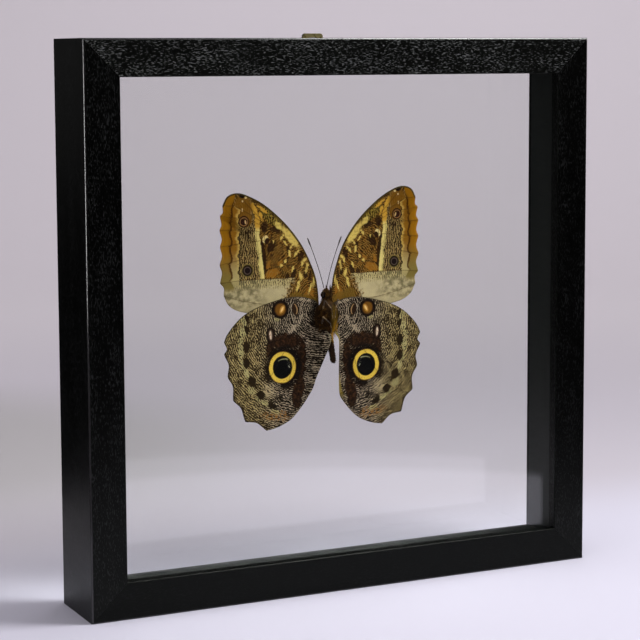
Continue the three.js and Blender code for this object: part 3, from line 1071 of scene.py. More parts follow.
# %% Marks of the forewing
CREAM_MARKS = [
    ((17.1, 166.5), (6.6, 1.8), 50),
    ((23.2, 172.0), (2.8, 1.2), 44),
    ((25.8, 164.7), (0.5, 0.6), 0),
    ((21.6, 166.6), (0.7, 1.3), 30),
    ((19.9, 163.8), (0.6, 1.4), -35),
    ((16.3, 162.2), (0.6, 1.7), 25),
    ((17.6, 158.4), (0.6, 1.8), -20),
    ((14.0, 158.8), (0.5, 2.0), 35),
    ((19.6, 155.2), (0.7, 1.0), 20),
    ((21.8, 152.8), (0.6, 1.0), -30),
    ((10.2, 154.4), (0.9, 2.4), 38),
    ((8.8, 151.2), (0.8, 2.6), 10),
    ((11.9, 147.4), (0.9, 2.4), -14),
    ((13.2, 142.8), (0.8, 2.6), 16),
    ((5.1, 145.0), (0.5, 3.4), 8),
    ((6.9, 141.4), (0.5, 2.8), 20),
    ((15.8, 151.4), (0.5, 1.4), 30),
]
OCHRE_MARKS = [
    ((26.4, 149.6), (3.8, 2.0), -20),
    ((28.4, 153.6), (1.0, 2.2), 20),
    ((7.6, 137.6), (2.6, 3.8), 20),
    ((22.5, 154.2), (1.4, 1.0), -40),
]
YELLOW_MARKS = [
    ((34.0, 174.0), (1.3, 4.6), -4),
    ((35.6, 180.4), (1.2, 3.2), -24),
    ((31.2, 180.0), (3.6, 0.7), 38),
    ((32.0, 176.6), (0.7, 2.6), -22),
]
DARK_MARKS = [
    ((30.9, 157.6), (1.1, 9.2), -6),
    ((26.9, 162.4), (1.8, 3.4), 36),
    ((19.2, 146.4), (1.3, 3.0), 12),
    ((9.4, 148.2), (1.1, 1.8), 0),
    ((11.9, 157.0), (1.4, 2.8), 30),
    ((30.2, 171.6), (1.6, 2.6), 10),
    ((24.4, 170.2), (2.4, 1.4), 40),
    ((39.4, 169.2), (0.9, 0.9), 0),
    ((15.6, 148.8), (1.3, 2.6), 20),
    ((7.2, 147.2), (0.7, 2.6), 12),
    ((18.4, 160.6), (0.9, 1.5), 0),
]
print(len(CREAM_MARKS) + len(OCHRE_MARKS) + len(YELLOW_MARKS) + len(DARK_MARKS), "marks")


# %% The marbled disc and the rippled zone of the forewing
def forewing_ground(tree, flat, margin, reach):
    """Brown marbling inside the cream band, grey ripples that follow the margin outside it."""
    out, height = flat.axis("X"), flat.axis("Y")
    grown = flat.warped(1.6, 1.9)
    squiggles = ripples(flat.warped(1.6, 1.6), reach, 1.05, -0.1, 3.2)
    colour = plain(tree, shade(40, 20, 6)).paint(shade(92, 58, 15), flat.noise(1.6, 3).rise(0.42, 0.62))
    colour = colour.paint(shade(160, 128, 60), squiggles * 0.68)
    veil = blotches(grown, [((26.5, 176), (7.5, 3.0), 41)])
    costal = plain(tree, shade(48, 36, 12)).paint(shade(150, 134, 56), ripples(flat, out, 1.2, -0.1))
    colour = colour.paint(costal, veil * 0.85)

    lines = ripples(flat, margin, 1.05, 0.0)
    grey = plain(tree, shade(46, 33, 18)).paint(shade(158, 138, 90), lines)
    bend = out - (height - 168.2) * 0.115 - 34.1
    across = bend + (flat.noise(3.2, 2) - 0.5) * 1.8
    colour = colour.paint(grey, across.rise(0.4, 1.0))
    colour = colour.paint(shade(36, 18, 6), blotches(grown, DARK_MARKS) * 0.92)
    ochre = blotches(grown, OCHRE_MARKS) * squiggles.rise(1.2, -0.2) * 0.75
    colour = colour.paint(shade(158, 106, 28), ochre)
    worn = flat.noise(1.3, 2).rise(0.3, 0.52) * 0.4 + 0.6
    cream = blotches(flat.warped(2.6, 2.2).warped(0.8, 1.1), CREAM_MARKS, 0.3) * worn
    colour = colour.paint(shade(212, 192, 108), cream)
    yellow = blotches(flat.warped(1.4, 2.2), YELLOW_MARKS)
    colour = colour.paint(shade(206, 164, 62), yellow * 0.95)

    # the comma at the end of the cell, a crescent round a dark pupil
    comma = flat.spot((30.0, 165.9), (1.5, 1.9), 20).rise(1.1, 0.85)
    colour = colour.paint(shade(228, 212, 150), comma)
    colour = colour.paint(shade(40, 20, 8), flat.spot((29.2, 165.0), (1.2, 1.6), 20).rise(1.15, 0.85))

    band = abs(across).rise(1.45, 0.9) * height.rise(146.5, 147.6) * height.rise(172.4, 169.8)
    whole = across.rise(1.4, -0.4).most(lines)
    return colour.paint(shade(222, 210, 138), band * whole * 0.95)


# %% The back of the forewing, which the hindwing covers in life
def forewing_back(tree, flat, colour):
    out, height = flat.axis("X"), flat.axis("Y")
    grown = flat.warped(2.4, 1.6)
    ragged = height + (flat.noise(1.4, 2) - 0.5) * 3.0
    inward = out + (height - 140) * 0.5 + (flat.noise(1.6, 3) - 0.5) * 12
    bare = height.rise(147.0, 146.6) * inward.rise(17.5, 20.5)
    strokes = ripples(flat, out, 1.15, -0.1, 0.6) * ragged.rise(140.6, 145.0)
    pale = plain(tree, shade(172, 165, 138)).paint(shade(202, 192, 156), grown.noise(4, 2))
    pale = pale.paint(shade(192, 182, 132), ragged.rise(141, 145) * 0.7)
    pale = pale.paint(shade(62, 48, 26), strokes * 0.9)
    clouds = flat.noise(3, 3).rise(0.35, 0.65) * height.rise(129, 137) * out.rise(24, 38)
    pale = pale.paint(shade(98, 94, 68), clouds * 0.85)
    colour = colour.paint(pale, bare)
    root = blotches(grown, [((8.5, 133.5), (8.0, 4.6), 10), ((14, 136), (4, 4), 0)])
    return colour.paint(shade(112, 88, 32), root * 0.75)


# %% The bands and eyespots along the forewing's margin
def forewing_margin(tree, flat, margin, leading, bay, colour):
    """Along the outer margin and on round the tip of the wing."""
    out, height = flat.axis("X"), flat.axis("Y")
    grown = flat.warped(2.4, 1.4)
    apex = blotches(grown, [((41.4, 181.4), (5.0, 6.0), 0), ((38.8, 176), (2.2, 3.6), 0)], 0.3)
    colour = colour.paint(shade(120, 82, 12), apex * 0.9)

    margin = margin.least(leading + out.rise(46.5, 42) * 14)
    behind = height.rise(163, 146)
    scalloped = abs(bay.wave()) * 1.9 + 7.7 - height.rise(178, 187) * 2.2
    past_tip = out.rise(48, 43) * height.rise(180, 184) * 9
    from_edge = margin - scalloped + (flat.noise(2, 1) - 0.5) * 0.5 + past_tip
    rim_dark = from_edge.rise(1.5, 0.4) * height.rise(145, 148) * height.rise(182, 174)
    colour = colour.paint(shade(38, 26, 12), rim_dark * 0.85)
    inner = plain(tree, shade(134, 95, 24)).paint(shade(190, 160, 82), from_edge.rise(-1.8, -0.3))
    inner = inner.paint(shade(172, 162, 116), behind)
    colour = colour.paint(inner, from_edge.rise(0.2, -0.1) * height.rise(142.5, 146))
    outer = plain(tree, shade(148, 104, 12)).paint(shade(124, 86, 10), margin.rise(2.6, 4.6))
    outer = outer.paint(shade(178, 130, 40), margin.rise(1.6, 0.2) * 0.5)
    outer = outer.paint(shade(120, 112, 62), behind * 0.9)
    dark_at = (bay * 2).wave() * 0.4 + 4.7 + (flat.noise(2, 1) - 0.5) * 0.8
    colour = colour.paint(outer, (margin - dark_at).rise(0.3, -0.2) * height.rise(140.5, 144))
    dark_line = abs(margin - dark_at).rise(0.75, 0.25) * height.rise(144, 149) * height.rise(187, 182)
    colour = colour.paint(shade(70, 38, 6), dark_line * 0.95)

    at = flat.warped(1.2, 0.35)
    upper = [((2.8, 2.8), shade(52, 30, 14)), ((2.1, 2.1), shade(150, 112, 70)),
             ((1.75, 1.75), shade(44, 20, 14))]
    colour = ringed(colour, at, (40.8, 174.6), upper)
    colour = ringed(colour, at, (40.0, 174.4), [((0.42, 0.95), shade(206, 176, 128))], -15)
    lower = [((3.2, 3.2), shade(116, 104, 58)), ((2.7, 2.7), shade(34, 24, 14)),
             ((1.8, 1.8), shade(86, 74, 74)), ((1.45, 1.45), shade(24, 12, 14))]
    colour = ringed(colour, at, (39.2, 151.4), lower)
    colour = ringed(colour, at, (41.7, 186.7), [((1.5, 0.9), shade(22, 12, 8))], 15)
    for dot, size in (((39.7, 185.9), (0.6, 0.5)), ((41.4, 184.4), (0.35, 0.5)),
                      ((41.6, 180.2), (0.3, 0.8))):
        colour = ringed(colour, at, dot, [(size, shade(224, 204, 150))])
    return colour


# %% Underside of the forewing
def forewing_underside():
    made, tree, shader = material("forewing underside", Specular_IOR_Level=0.06)
    flat = attribute(tree, "flat", "Vector")
    margin, bay, leading, vein, reach = (
        attribute(tree, name) for name in ("margin", "bay", "leading", "vein", "reach")
    )
    colour = forewing_ground(tree, flat, margin, reach)
    colour = forewing_back(tree, flat, colour)
    colour = forewing_margin(tree, flat, margin, leading, bay, colour)
    costa = leading.rise(1.0, 0.6) * flat.axis("Y").rise(136, 142) * 0.9
    colour = colour.paint(shade(60, 52, 24), costa)
    colour = colour.paint(shade(74, 52, 18), vein.rise(0.34, 0.2) * 0.45)
    scaly(tree, shader, flat, colour, vein)
    return made


forewing_under = forewing_underside()
print(forewing_under.name, "has", len(forewing_under.node_tree.nodes), "nodes")

# %% [markdown]
# The hindwing is covered with fine pale ripples on dark brown. Near its middle is the great
# eyespot that gives owl butterflies their name, with a dark cloud above it, and near its
# leading edge a smaller one, like a ball with a highlight.

# %% Marks of the hindwing
PALE_CHAIN = [
    ((42.6, 127.0), (1.2, 3.4), -20),
    ((43.2, 121.2), (1.6, 2.6), -10),
    ((44.2, 117.0), (1.3, 2.4), 15),
    ((43.8, 111.6), (1.5, 3.0), 5),
    ((43.0, 105.8), (0.9, 2.2), -10),
    ((41.2, 101.8), (1.4, 2.8), -22),
    ((38.6, 93.2), (1.9, 2.4), -35),
    ((35.2, 88.6), (1.6, 1.0), 40),
    ((32.0, 86.4), (2.4, 1.4), 30),
    ((26.0, 81.6), (2.6, 1.1), 22),
    ((25.0, 126.4), (1.7, 1.0), 20),
]
DARK_LUNULES = [
    ((40.9, 122.2), (1.1, 2.1), -10),
    ((41.2, 114.2), (1.5, 2.6), 0),
    ((41.2, 106.4), (1.5, 2.4), 0),
    ((38.4, 97.6), (1.7, 2.4), -25),
    ((33.6, 90.6), (2.2, 1.8), 30),
    ((28.0, 85.0), (2.2, 1.4), 30),
    ((40.6, 127.4), (0.9, 2.2), -20),
]
DARK_CLOUD = [
    ((20.6, 115.4), (8.4, 3.8), 0),
    ((12.6, 104.6), (2.4, 11.0), 4),
    ((14.2, 91.0), (2.8, 8.6), 10),
    ((28.8, 113.0), (2.0, 4.4), 15),
    ((21.6, 103.2), (9.4, 10.2), 0),
]
WHITE_STREAKS = [
    ((13.0, 125.6), (0.9, 3.2), 15),
    ((17.4, 120.8), (3.8, 1.2), -38),
    ((28.0, 93.6), (6.4, 3.0), -38),
    ((10.6, 134.8), (3.4, 0.8), 12),
]
print(len(PALE_CHAIN) + len(DARK_LUNULES) + len(DARK_CLOUD) + len(WHITE_STREAKS), "marks")


# %% Ripples and cloud of the hindwing
def hindwing_ground(tree, flat, margin, reach):
    out = flat.axis("X")
    grown = flat.warped(1.5, 1.8)
    outward = out.rise(20, 40)
    chain = blotches(grown, PALE_CHAIN, 0.3)
    streaks = blotches(grown, WHITE_STREAKS, 0.3)
    lunules = blotches(grown, DARK_LUNULES, 0.3)
    soot = blotches(grown, DARK_CLOUD, 0.3)
    bright = chain * 0.9 + streaks * 0.8 - lunules * 1.3 - soot + (flat.noise(5, 2) - 0.5) * 0.9 - 0.25
    lines = ripples(flat, reach, 1.0, bright, 2.4)
    pale = plain(tree, shade(166, 156, 144)).paint(shade(174, 161, 118), outward)
    pale = pale.paint(shade(170, 166, 124), chain)
    dark = plain(tree, shade(20, 11, 6)).paint(shade(46, 34, 16), outward)
    colour = dark.paint(pale, lines)
    colour = colour.paint(shade(28, 20, 10), lunules * 0.55)
    brown = plain(tree, shade(26, 14, 8)).paint(shade(66, 42, 22), grown.noise(1.5, 3).rise(0.42, 0.7))
    brown = brown.paint(shade(14, 8, 6), flat.spot((21.8, 103.2), (9.2, 10.0)).rise(1.12, 0.94))
    colour = colour.paint(brown, soot * (lines * -0.35 + 1))
    tip = blotches(grown, [((26.6, 79.6), (6.6, 1.9), 12), ((21.5, 80.5), (2.5, 1.4), 30)], 0.4)
    speckle = flat.noise(1.2, 2).rise(0.42, 0.58)
    colour = colour.paint(shade(140, 100, 44), tip * speckle * 0.8)
    colour = colour.paint(shade(38, 31, 18), margin.rise(1.3, 0.2) * 0.7)
    return colour.paint(shade(20, 14, 11), blotches(grown, [((4.2, 127), (3.4, 7), 0)], 0.3) * 0.75)


# %% Eyespots of the hindwing
EYESPOT = (22.4, 103.1)


def hindwing_eyes(colour, flat):
    at = flat.warped(2.0, 0.4)
    ring = [((7.25, 7.85), shade(96, 62, 20)), ((6.95, 7.5), shade(222, 196, 84)),
            ((5.15, 5.6), shade(66, 48, 14)), ((4.9, 5.4), shade(6, 6, 9))]
    colour = ringed(colour, at, EYESPOT, ring)
    rays = flat.noise(0.5, 1).rise(0.6, 0.66) * at.spot(EYESPOT, (6.6, 7.1)).rise(0.8, 1.0)
    colour = colour.paint(shade(120, 84, 26), rays * at.spot(EYESPOT, (7, 7.6)).rise(1.02, 0.98))
    glint = at.spot((22.0, 106.5), (2.5, 0.8), -6).rise(1.2, 0.8)
    glint = glint * at.spot((22.2, 105.4), (3.0, 1.5), -6).rise(0.85, 1.1)
    colour = colour.paint(shade(166, 168, 138), glint * 0.85)
    side_glint = at.spot((19.0, 103.9), (0.5, 1.7), -16).rise(1.3, 0.6)
    colour = colour.paint(shade(190, 198, 196), side_glint * flat.noise(0.6, 1).rise(0.5, 0.7))

    crescent = [((2.3, 3.9), shade(24, 14, 9)), ((1.25, 2.9), shade(70, 50, 40)),
                ((0.62, 2.0), shade(222, 206, 192))]
    colour = ringed(colour, at, (28.5, 119.0), crescent, -4)
    ball = [((4.4, 4.4), shade(20, 11, 6)), ((3.0, 3.2), shade(76, 48, 16)),
            ((2.5, 2.7), shade(112, 76, 24))]
    colour = ringed(colour, at, (23.3, 131.0), ball)
    colour = ringed(colour, at, (22.4, 131.0), [((1.1, 2.1), shade(176, 130, 52)),
                                               ((0.5, 1.4), shade(226, 196, 132))], 30)
    tan = [((1.9, 3.2), shade(30, 19, 12)), ((1.1, 2.5), shade(164, 134, 96))]
    colour = ringed(colour, at, (15.4, 130.8), tan, -12)
    return ringed(colour, at, (16.0, 130.7), [((1.2, 2.5), shade(40, 25, 15))], -12)


# %% Underside of the hindwing
def hindwing_underside():
    made, tree, shader = material("hindwing underside", Specular_IOR_Level=0.06)
    flat = attribute(tree, "flat", "Vector")
    margin, leading, vein, reach, fringe = (
        attribute(tree, name) for name in ("margin", "leading", "vein", "reach", "fringe")
    )
    out, height = flat.axis("X"), flat.axis("Y")
    colour = hindwing_ground(tree, flat, margin, reach)
    colour = hindwing_eyes(colour, flat)

    # the rolled inner margin has a pale line along its crease, and olive hairs where they show
    crease = abs(out - (height - 108) * 0.07 - 1.9).rise(0.3, 0.12)
    crease = crease * height.rise(104, 108) * height.rise(125, 121)
    colour = colour.paint(shade(150, 148, 132), crease * 0.8)
    olive = fringe.rise(2.6, 1.4) * height.rise(126, 120) * height.rise(86, 92)
    colour = colour.paint(shade(128, 114, 48), olive * (flat.noise(0.8, 2) * 0.5 + 0.6))
    colour = colour.paint(shade(60, 52, 34), leading.rise(0.5, 0.2))
    colour = colour.paint(shade(34, 26, 18), vein.rise(0.3, 0.15) * 0.4)
    scaly(tree, shader, flat, colour, vein)
    return made


hindwing_under = hindwing_underside()
print(hindwing_under.name, "has", len(hindwing_under.node_tree.nodes), "nodes")

# %% [markdown]
# The upperside can't be seen in the photograph, but it shows through the rear pane. In this
# genus it is plain: dark brown at the margins, dusty blue towards the roots, and an ochre
# band across the forewing.


# %% Upperside of both wings
def upperside(name, band_strength):
    made, tree, shader = material(name, Specular_IOR_Level=0.12)
    flat = attribute(tree, "flat", "Vector")
    margin, vein, reach = (attribute(tree, part) for part in ("margin", "vein", "reach"))
    fine = flat.noise(1.1, 3)
    wide = flat.noise(8, 2) * 8
    brown = plain(tree, shade(38, 27, 20)).paint(shade(60, 44, 30), fine)
    blue = plain(tree, shade(40, 52, 84)).paint(shade(70, 84, 112), fine)
    colour = brown.paint(blue, (reach + wide).rise(44, 16) * 0.85)
    band = abs(margin + wide * 0.3 - 14).rise(4.2, 1.2)
    colour = colour.paint(shade(150, 108, 48), band * band_strength)
    colour = colour.paint(shade(24, 17, 12), vein.rise(0.45, 0.2) * 0.6)
    scaly(tree, shader, flat, colour, vein)
    return made


uppersides = {
    "forewing": upperside("forewing upperside", 0.8),
    "hindwing": upperside("hindwing upperside", 0.12),
}
undersides = {"forewing": forewing_under, "hindwing": hindwing_under}
for name, piece in wings.items():
    kind = SETTING[name][0]
    finish_with(piece, undersides[kind], uppersides[kind])
    for face in piece.data.polygons:
        face.material_index = int(face.normal.y > 0)
    settle(piece, name)

# %% [markdown]
# ## The body
#
# A butterfly's body is a chain of hard rings under a coat of hair-like scales. The skin comes
# first: a cylinder whose side is subdivided lengthwise, its rings moved onto the sections of
# the head, the thorax and the abdomen, with a groove where one abdominal ring slides into the
# next. The coat is added afterwards as many short hairs, so the skin stays a little slimmer.

# %% Sections of the body, from its tip to its head
COAT = 0.7
SKIN_RINGS = 130
SKIN_SIDES = 48
ABDOMEN_TOP = 121.5
SEGMENT = 2.1
GROOVE_WIDTH = 0.14
GROOVE_DEPTH = 0.09
# the height of a section, where its middle is across and deep, and its half width and depth
BODY = [
    (104.9, 2.5, 25.6, 0.7, 0.7), (105.8, 2.4, 25.7, 1.5, 1.5), (108.5, 2.2, 26.0, 1.9, 2.1),
    (112.0, 1.8, 26.5, 2.1, 2.4), (116.0, 1.2, 27.0, 2.3, 2.7), (119.5, 0.7, 27.3, 2.5, 3.0),
    (121.5, 0.4, 27.0, 3.3, 4.2), (124.5, 0.1, 26.6, 4.3, 5.3), (128.5, 0.0, 26.4, 4.7, 5.7),
    (132.0, 0.0, 26.6, 4.4, 5.2), (134.6, 0.0, 27.3, 3.1, 3.9), (135.8, 0.0, 28.0, 2.1, 2.7),
    (137.2, 0.0, 28.3, 2.4, 2.7), (138.9, 0.0, 28.3, 2.3, 2.4), (140.4, 0.0, 28.4, 1.2, 1.4),
]
sections = np.array(BODY)
heights = np.linspace(sections[0, 0] + 0.3, sections[-1, 0] - 0.2, SKIN_RINGS)
middle_across, middle_deep, half_wide, half_deep = (
    np.interp(heights, sections[:, 0], sections[:, k]) for k in (1, 2, 3, 4)
)
phase = (heights - BODY[0][0]) / SEGMENT % 1
groove = np.exp(-(((phase - 0.5) / GROOVE_WIDTH) ** 2)) * ease(ABDOMEN_TOP, ABDOMEN_TOP - 1, heights)
slimmer = COAT * ease(BODY[0][0], BODY[0][0] + 6, heights) * 0.6 + COAT * 0.4
half_wide = (half_wide - slimmer * 0.9).clip(0.3) * (1 - GROOVE_DEPTH * groove)
half_deep = (half_deep - slimmer * 0.9).clip(0.3) * (1 - GROOVE_DEPTH * groove)
print("body from", BODY[0][0], "to", BODY[-1][0], "mm")


# %% The skin
def skin():
    made = fresh(
        bpy.ops.mesh.primitive_cylinder_add, vertices=SKIN_SIDES, radius=1, depth=2,
        end_fill_type="TRIFAN",
    )
    level = points_of(made)[:, 2]
    subdivide_edges(made, lambda line: np.ptp(level[list(line.vertices)]) > 1, SKIN_RINGS - 2)
    points = points_of(made)
    ring = np.rint((points[:, 2] + 1) / 2 * (SKIN_RINGS - 1)).astype(int)
    across = middle_across[ring] + points[:, 0] * half_wide[ring]
    back = middle_deep[ring] + points[:, 1] * half_deep[ring]
    shaped = np.column_stack([across, back, heights[ring]])
    bumps = [perlin.noise(Vector(p) * 0.6) * 0.2 for p in shaped]
    shaped[:, :2] += (points[:, :2] * np.array(bumps)[:, None])
    move_points(made, shaped)
    return made


body_skin = skin()
print("skin of", len(body_skin.data.vertices), "points")

# %% [markdown]
# The palps are two short feelers that stand up in front of the head, tapered tubes with a
# stiff coat. They are joined to the skin, so that the coat can grow on them too. The great
# domed eyes are spheres of their own, because they stay bare and shine.

# %% Palps and eyes
PALP_ROOT = (0.7, 25.9, 135.6)
PALP_TIP = (1.0, 25.9, 142.3)
EYE_AT = (1.75, 27.7, 138.0)
EYE_RADIUS = 1.55

palps = []
for hand in (-1, 1):
    low, high = (Vector((hand * p[0], p[1], p[2])) for p in (PALP_ROOT, PALP_TIP))
    middle = low.lerp(high, 0.5) + Vector((hand * 0.15, -0.5, 0))
    palps.append(tube([low, middle, high], (0.5, 0.55, 0.12), sides=12, smooth=6))
body_skin = join([body_skin, *palps], "body_skin")

eyes = []
for hand in (-1, 1):
    eye = fresh(
        bpy.ops.mesh.primitive_ico_sphere_add, subdivisions=4, radius=EYE_RADIUS,
        location=(hand * EYE_AT[0], EYE_AT[1], EYE_AT[2]),
    )
    bpy.ops.object.transform_apply(location=True, rotation=False, scale=False)
    edit(eye, lambda: bpy.ops.transform.resize(value=(0.86, 0.95, 1.0)))
    eyes.append(eye)
eyes = join(eyes, "eyes")
print("two palps and", len(eyes.data.polygons), "faces of the eyes")

# %% [markdown]
# ## The coat
#
# A coat can be hair curves, but those are lost when the model is exported, and a flat card
# would show from the side. So every hair is a tiny closed spike with three sides that bends
# towards its tip. The spikes are worked out together: their roots are drawn at random over
# the skin, from a seeded generator, and each leans along the body, away from the head.


# %% Hairs as one mesh
def unit(vectors):
    return vectors / np.maximum(np.linalg.norm(vectors, axis=1), 1e-9)[:, None]


def scatter(obj, count, chance, seed):
    """Random points on an object's faces, more where chance is high, and the normals there."""
    mesh = obj.data
    mesh.calc_loop_triangles()
    points = points_of(obj)
    corners = np.array([t.vertices[:] for t in mesh.loop_triangles])
    a, b, c = (points[corners[:, k]] for k in range(3))
    cross = np.cross(b - a, c - a)
    weight = np.linalg.norm(cross, axis=1) * chance((a + b + c) / 3)
    draw = np.random.default_rng(seed)
    picked = draw.choice(len(weight), count, p=weight / weight.sum())
    u, v = draw.random((2, count))
    u, v = np.where(u + v > 1, 1 - u, u), np.where(u + v > 1, 1 - v, v)
    spots = a[picked] + (b - a)[picked] * u[:, None] + (c - a)[picked] * v[:, None]
    return spots, unit(cross[picked]), draw


HAIR_POINTS = 7


def hairs(name, roots, ways, sag, lengths, width, draw):
    """Closed three-sided spikes from roots along ways, each bent by its own sag."""
    count = len(roots)
    first = unit(np.cross(ways, draw.normal(size=(count, 3))))
    second = np.cross(ways, first)
    turns = np.radians([0, 120, 240])[None, :, None]
    ring = first[:, None] * np.cos(turns) + second[:, None] * np.sin(turns)
    middle = roots + ways * lengths[:, None] * 0.5 + sag * 0.3
    tips = roots + ways * lengths[:, None] + sag
    low = roots[:, None] + ring * width[:, None, None]
    high = middle[:, None] + ring * width[:, None, None] * 0.75
    points = np.concatenate([low, high, tips[:, None]], axis=1).reshape(-1, 3)
    faces = []
    for start in range(0, count * HAIR_POINTS, HAIR_POINTS):
        faces.append((start + 2, start + 1, start))
        for k in range(3):
            after = (k + 1) % 3
            faces.append((start + k, start + after, start + 3 + after, start + 3 + k))
            faces.append((start + 3 + k, start + 3 + after, start + 6))
    mesh = bpy.data.meshes.new(name)
    mesh.from_pydata(points, [], faces)
    made = bpy.data.objects.new(name, mesh)
    bpy.context.collection.objects.link(made)
    store(made, "tone", np.repeat(draw.random(count), HAIR_POINTS))
    store(made, "tip", np.tile([0, 0, 0, 0.5, 0.5, 0.5, 1], count))
    return made


print("hairs can grow")

# %% Grow the coat
COAT_HAIRS = 11000
TUFT_HAIRS = 1500
HAIR_WIDTH = 0.05


def on_thorax(height):
    """0 on the abdomen, 1 from the thorax up."""
    return ease(ABDOMEN_TOP - 2, ABDOMEN_TOP + 3, height)


def thick_coat(spots):
    """More hairs on the thorax and palps than on the abdomen."""
    return 0.55 + on_thorax(spots[:, 2])


def coat():
    roots, normals, draw = scatter(body_skin, COAT_HAIRS, thick_coat, 11)
    height = roots[:, 2]
    head = ease(134.5, 136.5, height)
    down = np.column_stack([np.zeros_like(height), np.zeros_like(height), 2 * head - 1])
    ways = unit(normals * 0.45 + down * 0.9 + draw.normal(scale=0.28, size=(len(roots), 3)))
    longer = 0.75 + 1.25 * on_thorax(height) * (1 - head) + 0.35 * head
    lengths = longer * draw.uniform(0.7, 1.25, len(roots))
    sag = down * (lengths * 0.2)[:, None] - normals * (lengths * 0.12)[:, None]
    width = HAIR_WIDTH * draw.uniform(0.8, 1.3, len(roots))
    return hairs("body_hair", roots - normals * 0.1, ways, sag, lengths, width, draw)


DEEPEST_TUFT = 29.9


def tufts_at_wing_roots():
    """Longer hairs that lie over the roots of the hindwings."""
    count = TUFT_HAIRS
    draw = np.random.default_rng(23)
    hand = np.where(draw.random(count) < 0.5, -1.0, 1.0)
    height = draw.uniform(119, 134.5, count)
    half = np.interp(height, sections[:, 0], sections[:, 3])
    roots = np.column_stack([hand * (half - 0.9), draw.uniform(26.5, 29.2, count), height])
    aim = np.column_stack([hand * 0.75, draw.uniform(-0.1, 0.3, count), np.full(count, -0.7)])
    ways = unit(aim + draw.normal(scale=0.2, size=(count, 3)))
    lengths = draw.uniform(2.0, 4.6, count)
    ways[:, 1] = np.minimum(ways[:, 1], (DEEPEST_TUFT - roots[:, 1]) / lengths)
    sag = np.column_stack([np.zeros(count), np.full(count, -0.15), -lengths * 0.25])
    return hairs("root_hair", roots, ways, sag, lengths, np.full(count, HAIR_WIDTH), draw)


body_hair = join([coat(), tufts_at_wing_roots()], "body_hair")
print("coat of", COAT_HAIRS + TUFT_HAIRS, "hairs")

# %% [markdown]
# ## Legs and feelers
#
# The four walking legs lie folded on the breast: a stout thigh, a thin shin with a row of
# spines, and a foot of small rings. A bevelled curve gives each its taper. The feelers are
# thin, made of many short rings, and end in a slim club.

# %% Legs
# the hip, knee, ankle and toe of each leg, in millimetres across, deep and high
LEGS = {
    "leg_middle": [(3.4, 24.8, 131.2), (3.6, 22.6, 136.2), (1.2, 20.0, 132.2), (0.6, 19.8, 127.6)],
    "leg_hind": [(4.0, 24.6, 124.6), (4.6, 22.3, 128.3), (1.6, 20.0, 124.9), (0.8, 20.9, 120.6)],
}
THIGH = (0.3, 0.4, 0.42, 0.36, 0.24)
SHIN = (0.2, 0.26, 0.22, 0.2, 0.17)
FOOT_RING = (0.12, 0.14, 0.18)
FOOT_RINGS = 5
SPINE = (0.05, 0.012)
SPINES = 7
CLAW = (0.06, 0.015)


def between(start, end, shares):
    return [Vector(start).lerp(Vector(end), share) for share in shares]


def limb(points, radii):
    return tube(points, radii, sides=12, smooth=3)


def leg(name, hand, joints):
    hip, knee, ankle, toe = (Vector((hand * x, y, z)) for x, y, z in joints)
    quarters = (0, 0.25, 0.5, 0.75, 1)
    pieces = [limb(between(hip, knee, quarters), THIGH), limb(between(knee, ankle, quarters), SHIN)]
    for ring in range(FOOT_RINGS):
        shares = [(ring + part) / FOOT_RINGS for part in (0, 0.5, 1)]
        pieces.append(limb(between(ankle, toe, shares), FOOT_RING))
    for spine in range(SPINES):
        root = knee.lerp(ankle, 0.25 + 0.7 * spine / SPINES)
        aim = Vector((hand * 0.3 * (-1) ** spine, -0.25, -0.55))
        pieces.append(tube([root, root + aim], SPINE, sides=4, smooth=1))
    for claw in (-1, 1):
        hook = Vector((0.14 * claw, 0, -0.3))
        pieces.append(tube([toe, toe + hook], CLAW, sides=4, smooth=1))
    return join(pieces, name)


legs = {}
for part, joints in LEGS.items():
    for side_name, hand in (("left", -1), ("right", 1)):
        legs[part + "_" + side_name] = leg(part + "_shape", hand, joints)
print(len(legs), "legs of", len(legs["leg_hind_left"].data.polygons), "faces")

# %% Feelers
ANTENNA = [(0.75, 29.2, 141.2), (4.0, 29.6, 152.5), (9.0, 29.8, 165.4)]
ANTENNA_RINGS = 46
ANTENNA_RADIUS = 0.2
CLUB_RADIUS = 0.4
CLUB_FROM = 0.82
CLUB_FULL = 0.92


def feeler(hand):
    root, middle, tip = (np.array(p) for p in ANTENNA)
    points, radii = [], []
    for step in range(2 * ANTENNA_RINGS + 1):
        way = step / (2 * ANTENNA_RINGS)
        bend = middle - (root + tip) / 2
        point = root + (tip - root) * way + bend * 4 * way * (1 - way)
        club = ease(CLUB_FROM, CLUB_FULL, way) * (1 - 0.5 * ease(0.96, 1, way))
        thick = ANTENNA_RADIUS + (CLUB_RADIUS - ANTENNA_RADIUS) * club
        points.append((hand * point[0], point[1], point[2]))
        radii.append(thick * (1 if step % 2 else 0.84))
    return tube(points, radii, sides=8, smooth=1)


feelers = {"antenna_left": feeler(-1), "antenna_right": feeler(1)}
print("two feelers of", ANTENNA_RINGS, "rings")


# %% [markdown]
# ## Finishes of the insect
#
# The coat is dark brown, with a golden patch where the abdomen begins. Hair could be given a
# picture of fur, but it would smear over so small a body. So skin and hairs share one colour
# that changes with height and from side to side, and each hair is a little darker or paler
# than the next. The hard eyes, legs and feelers shine, and have finishes of their own.


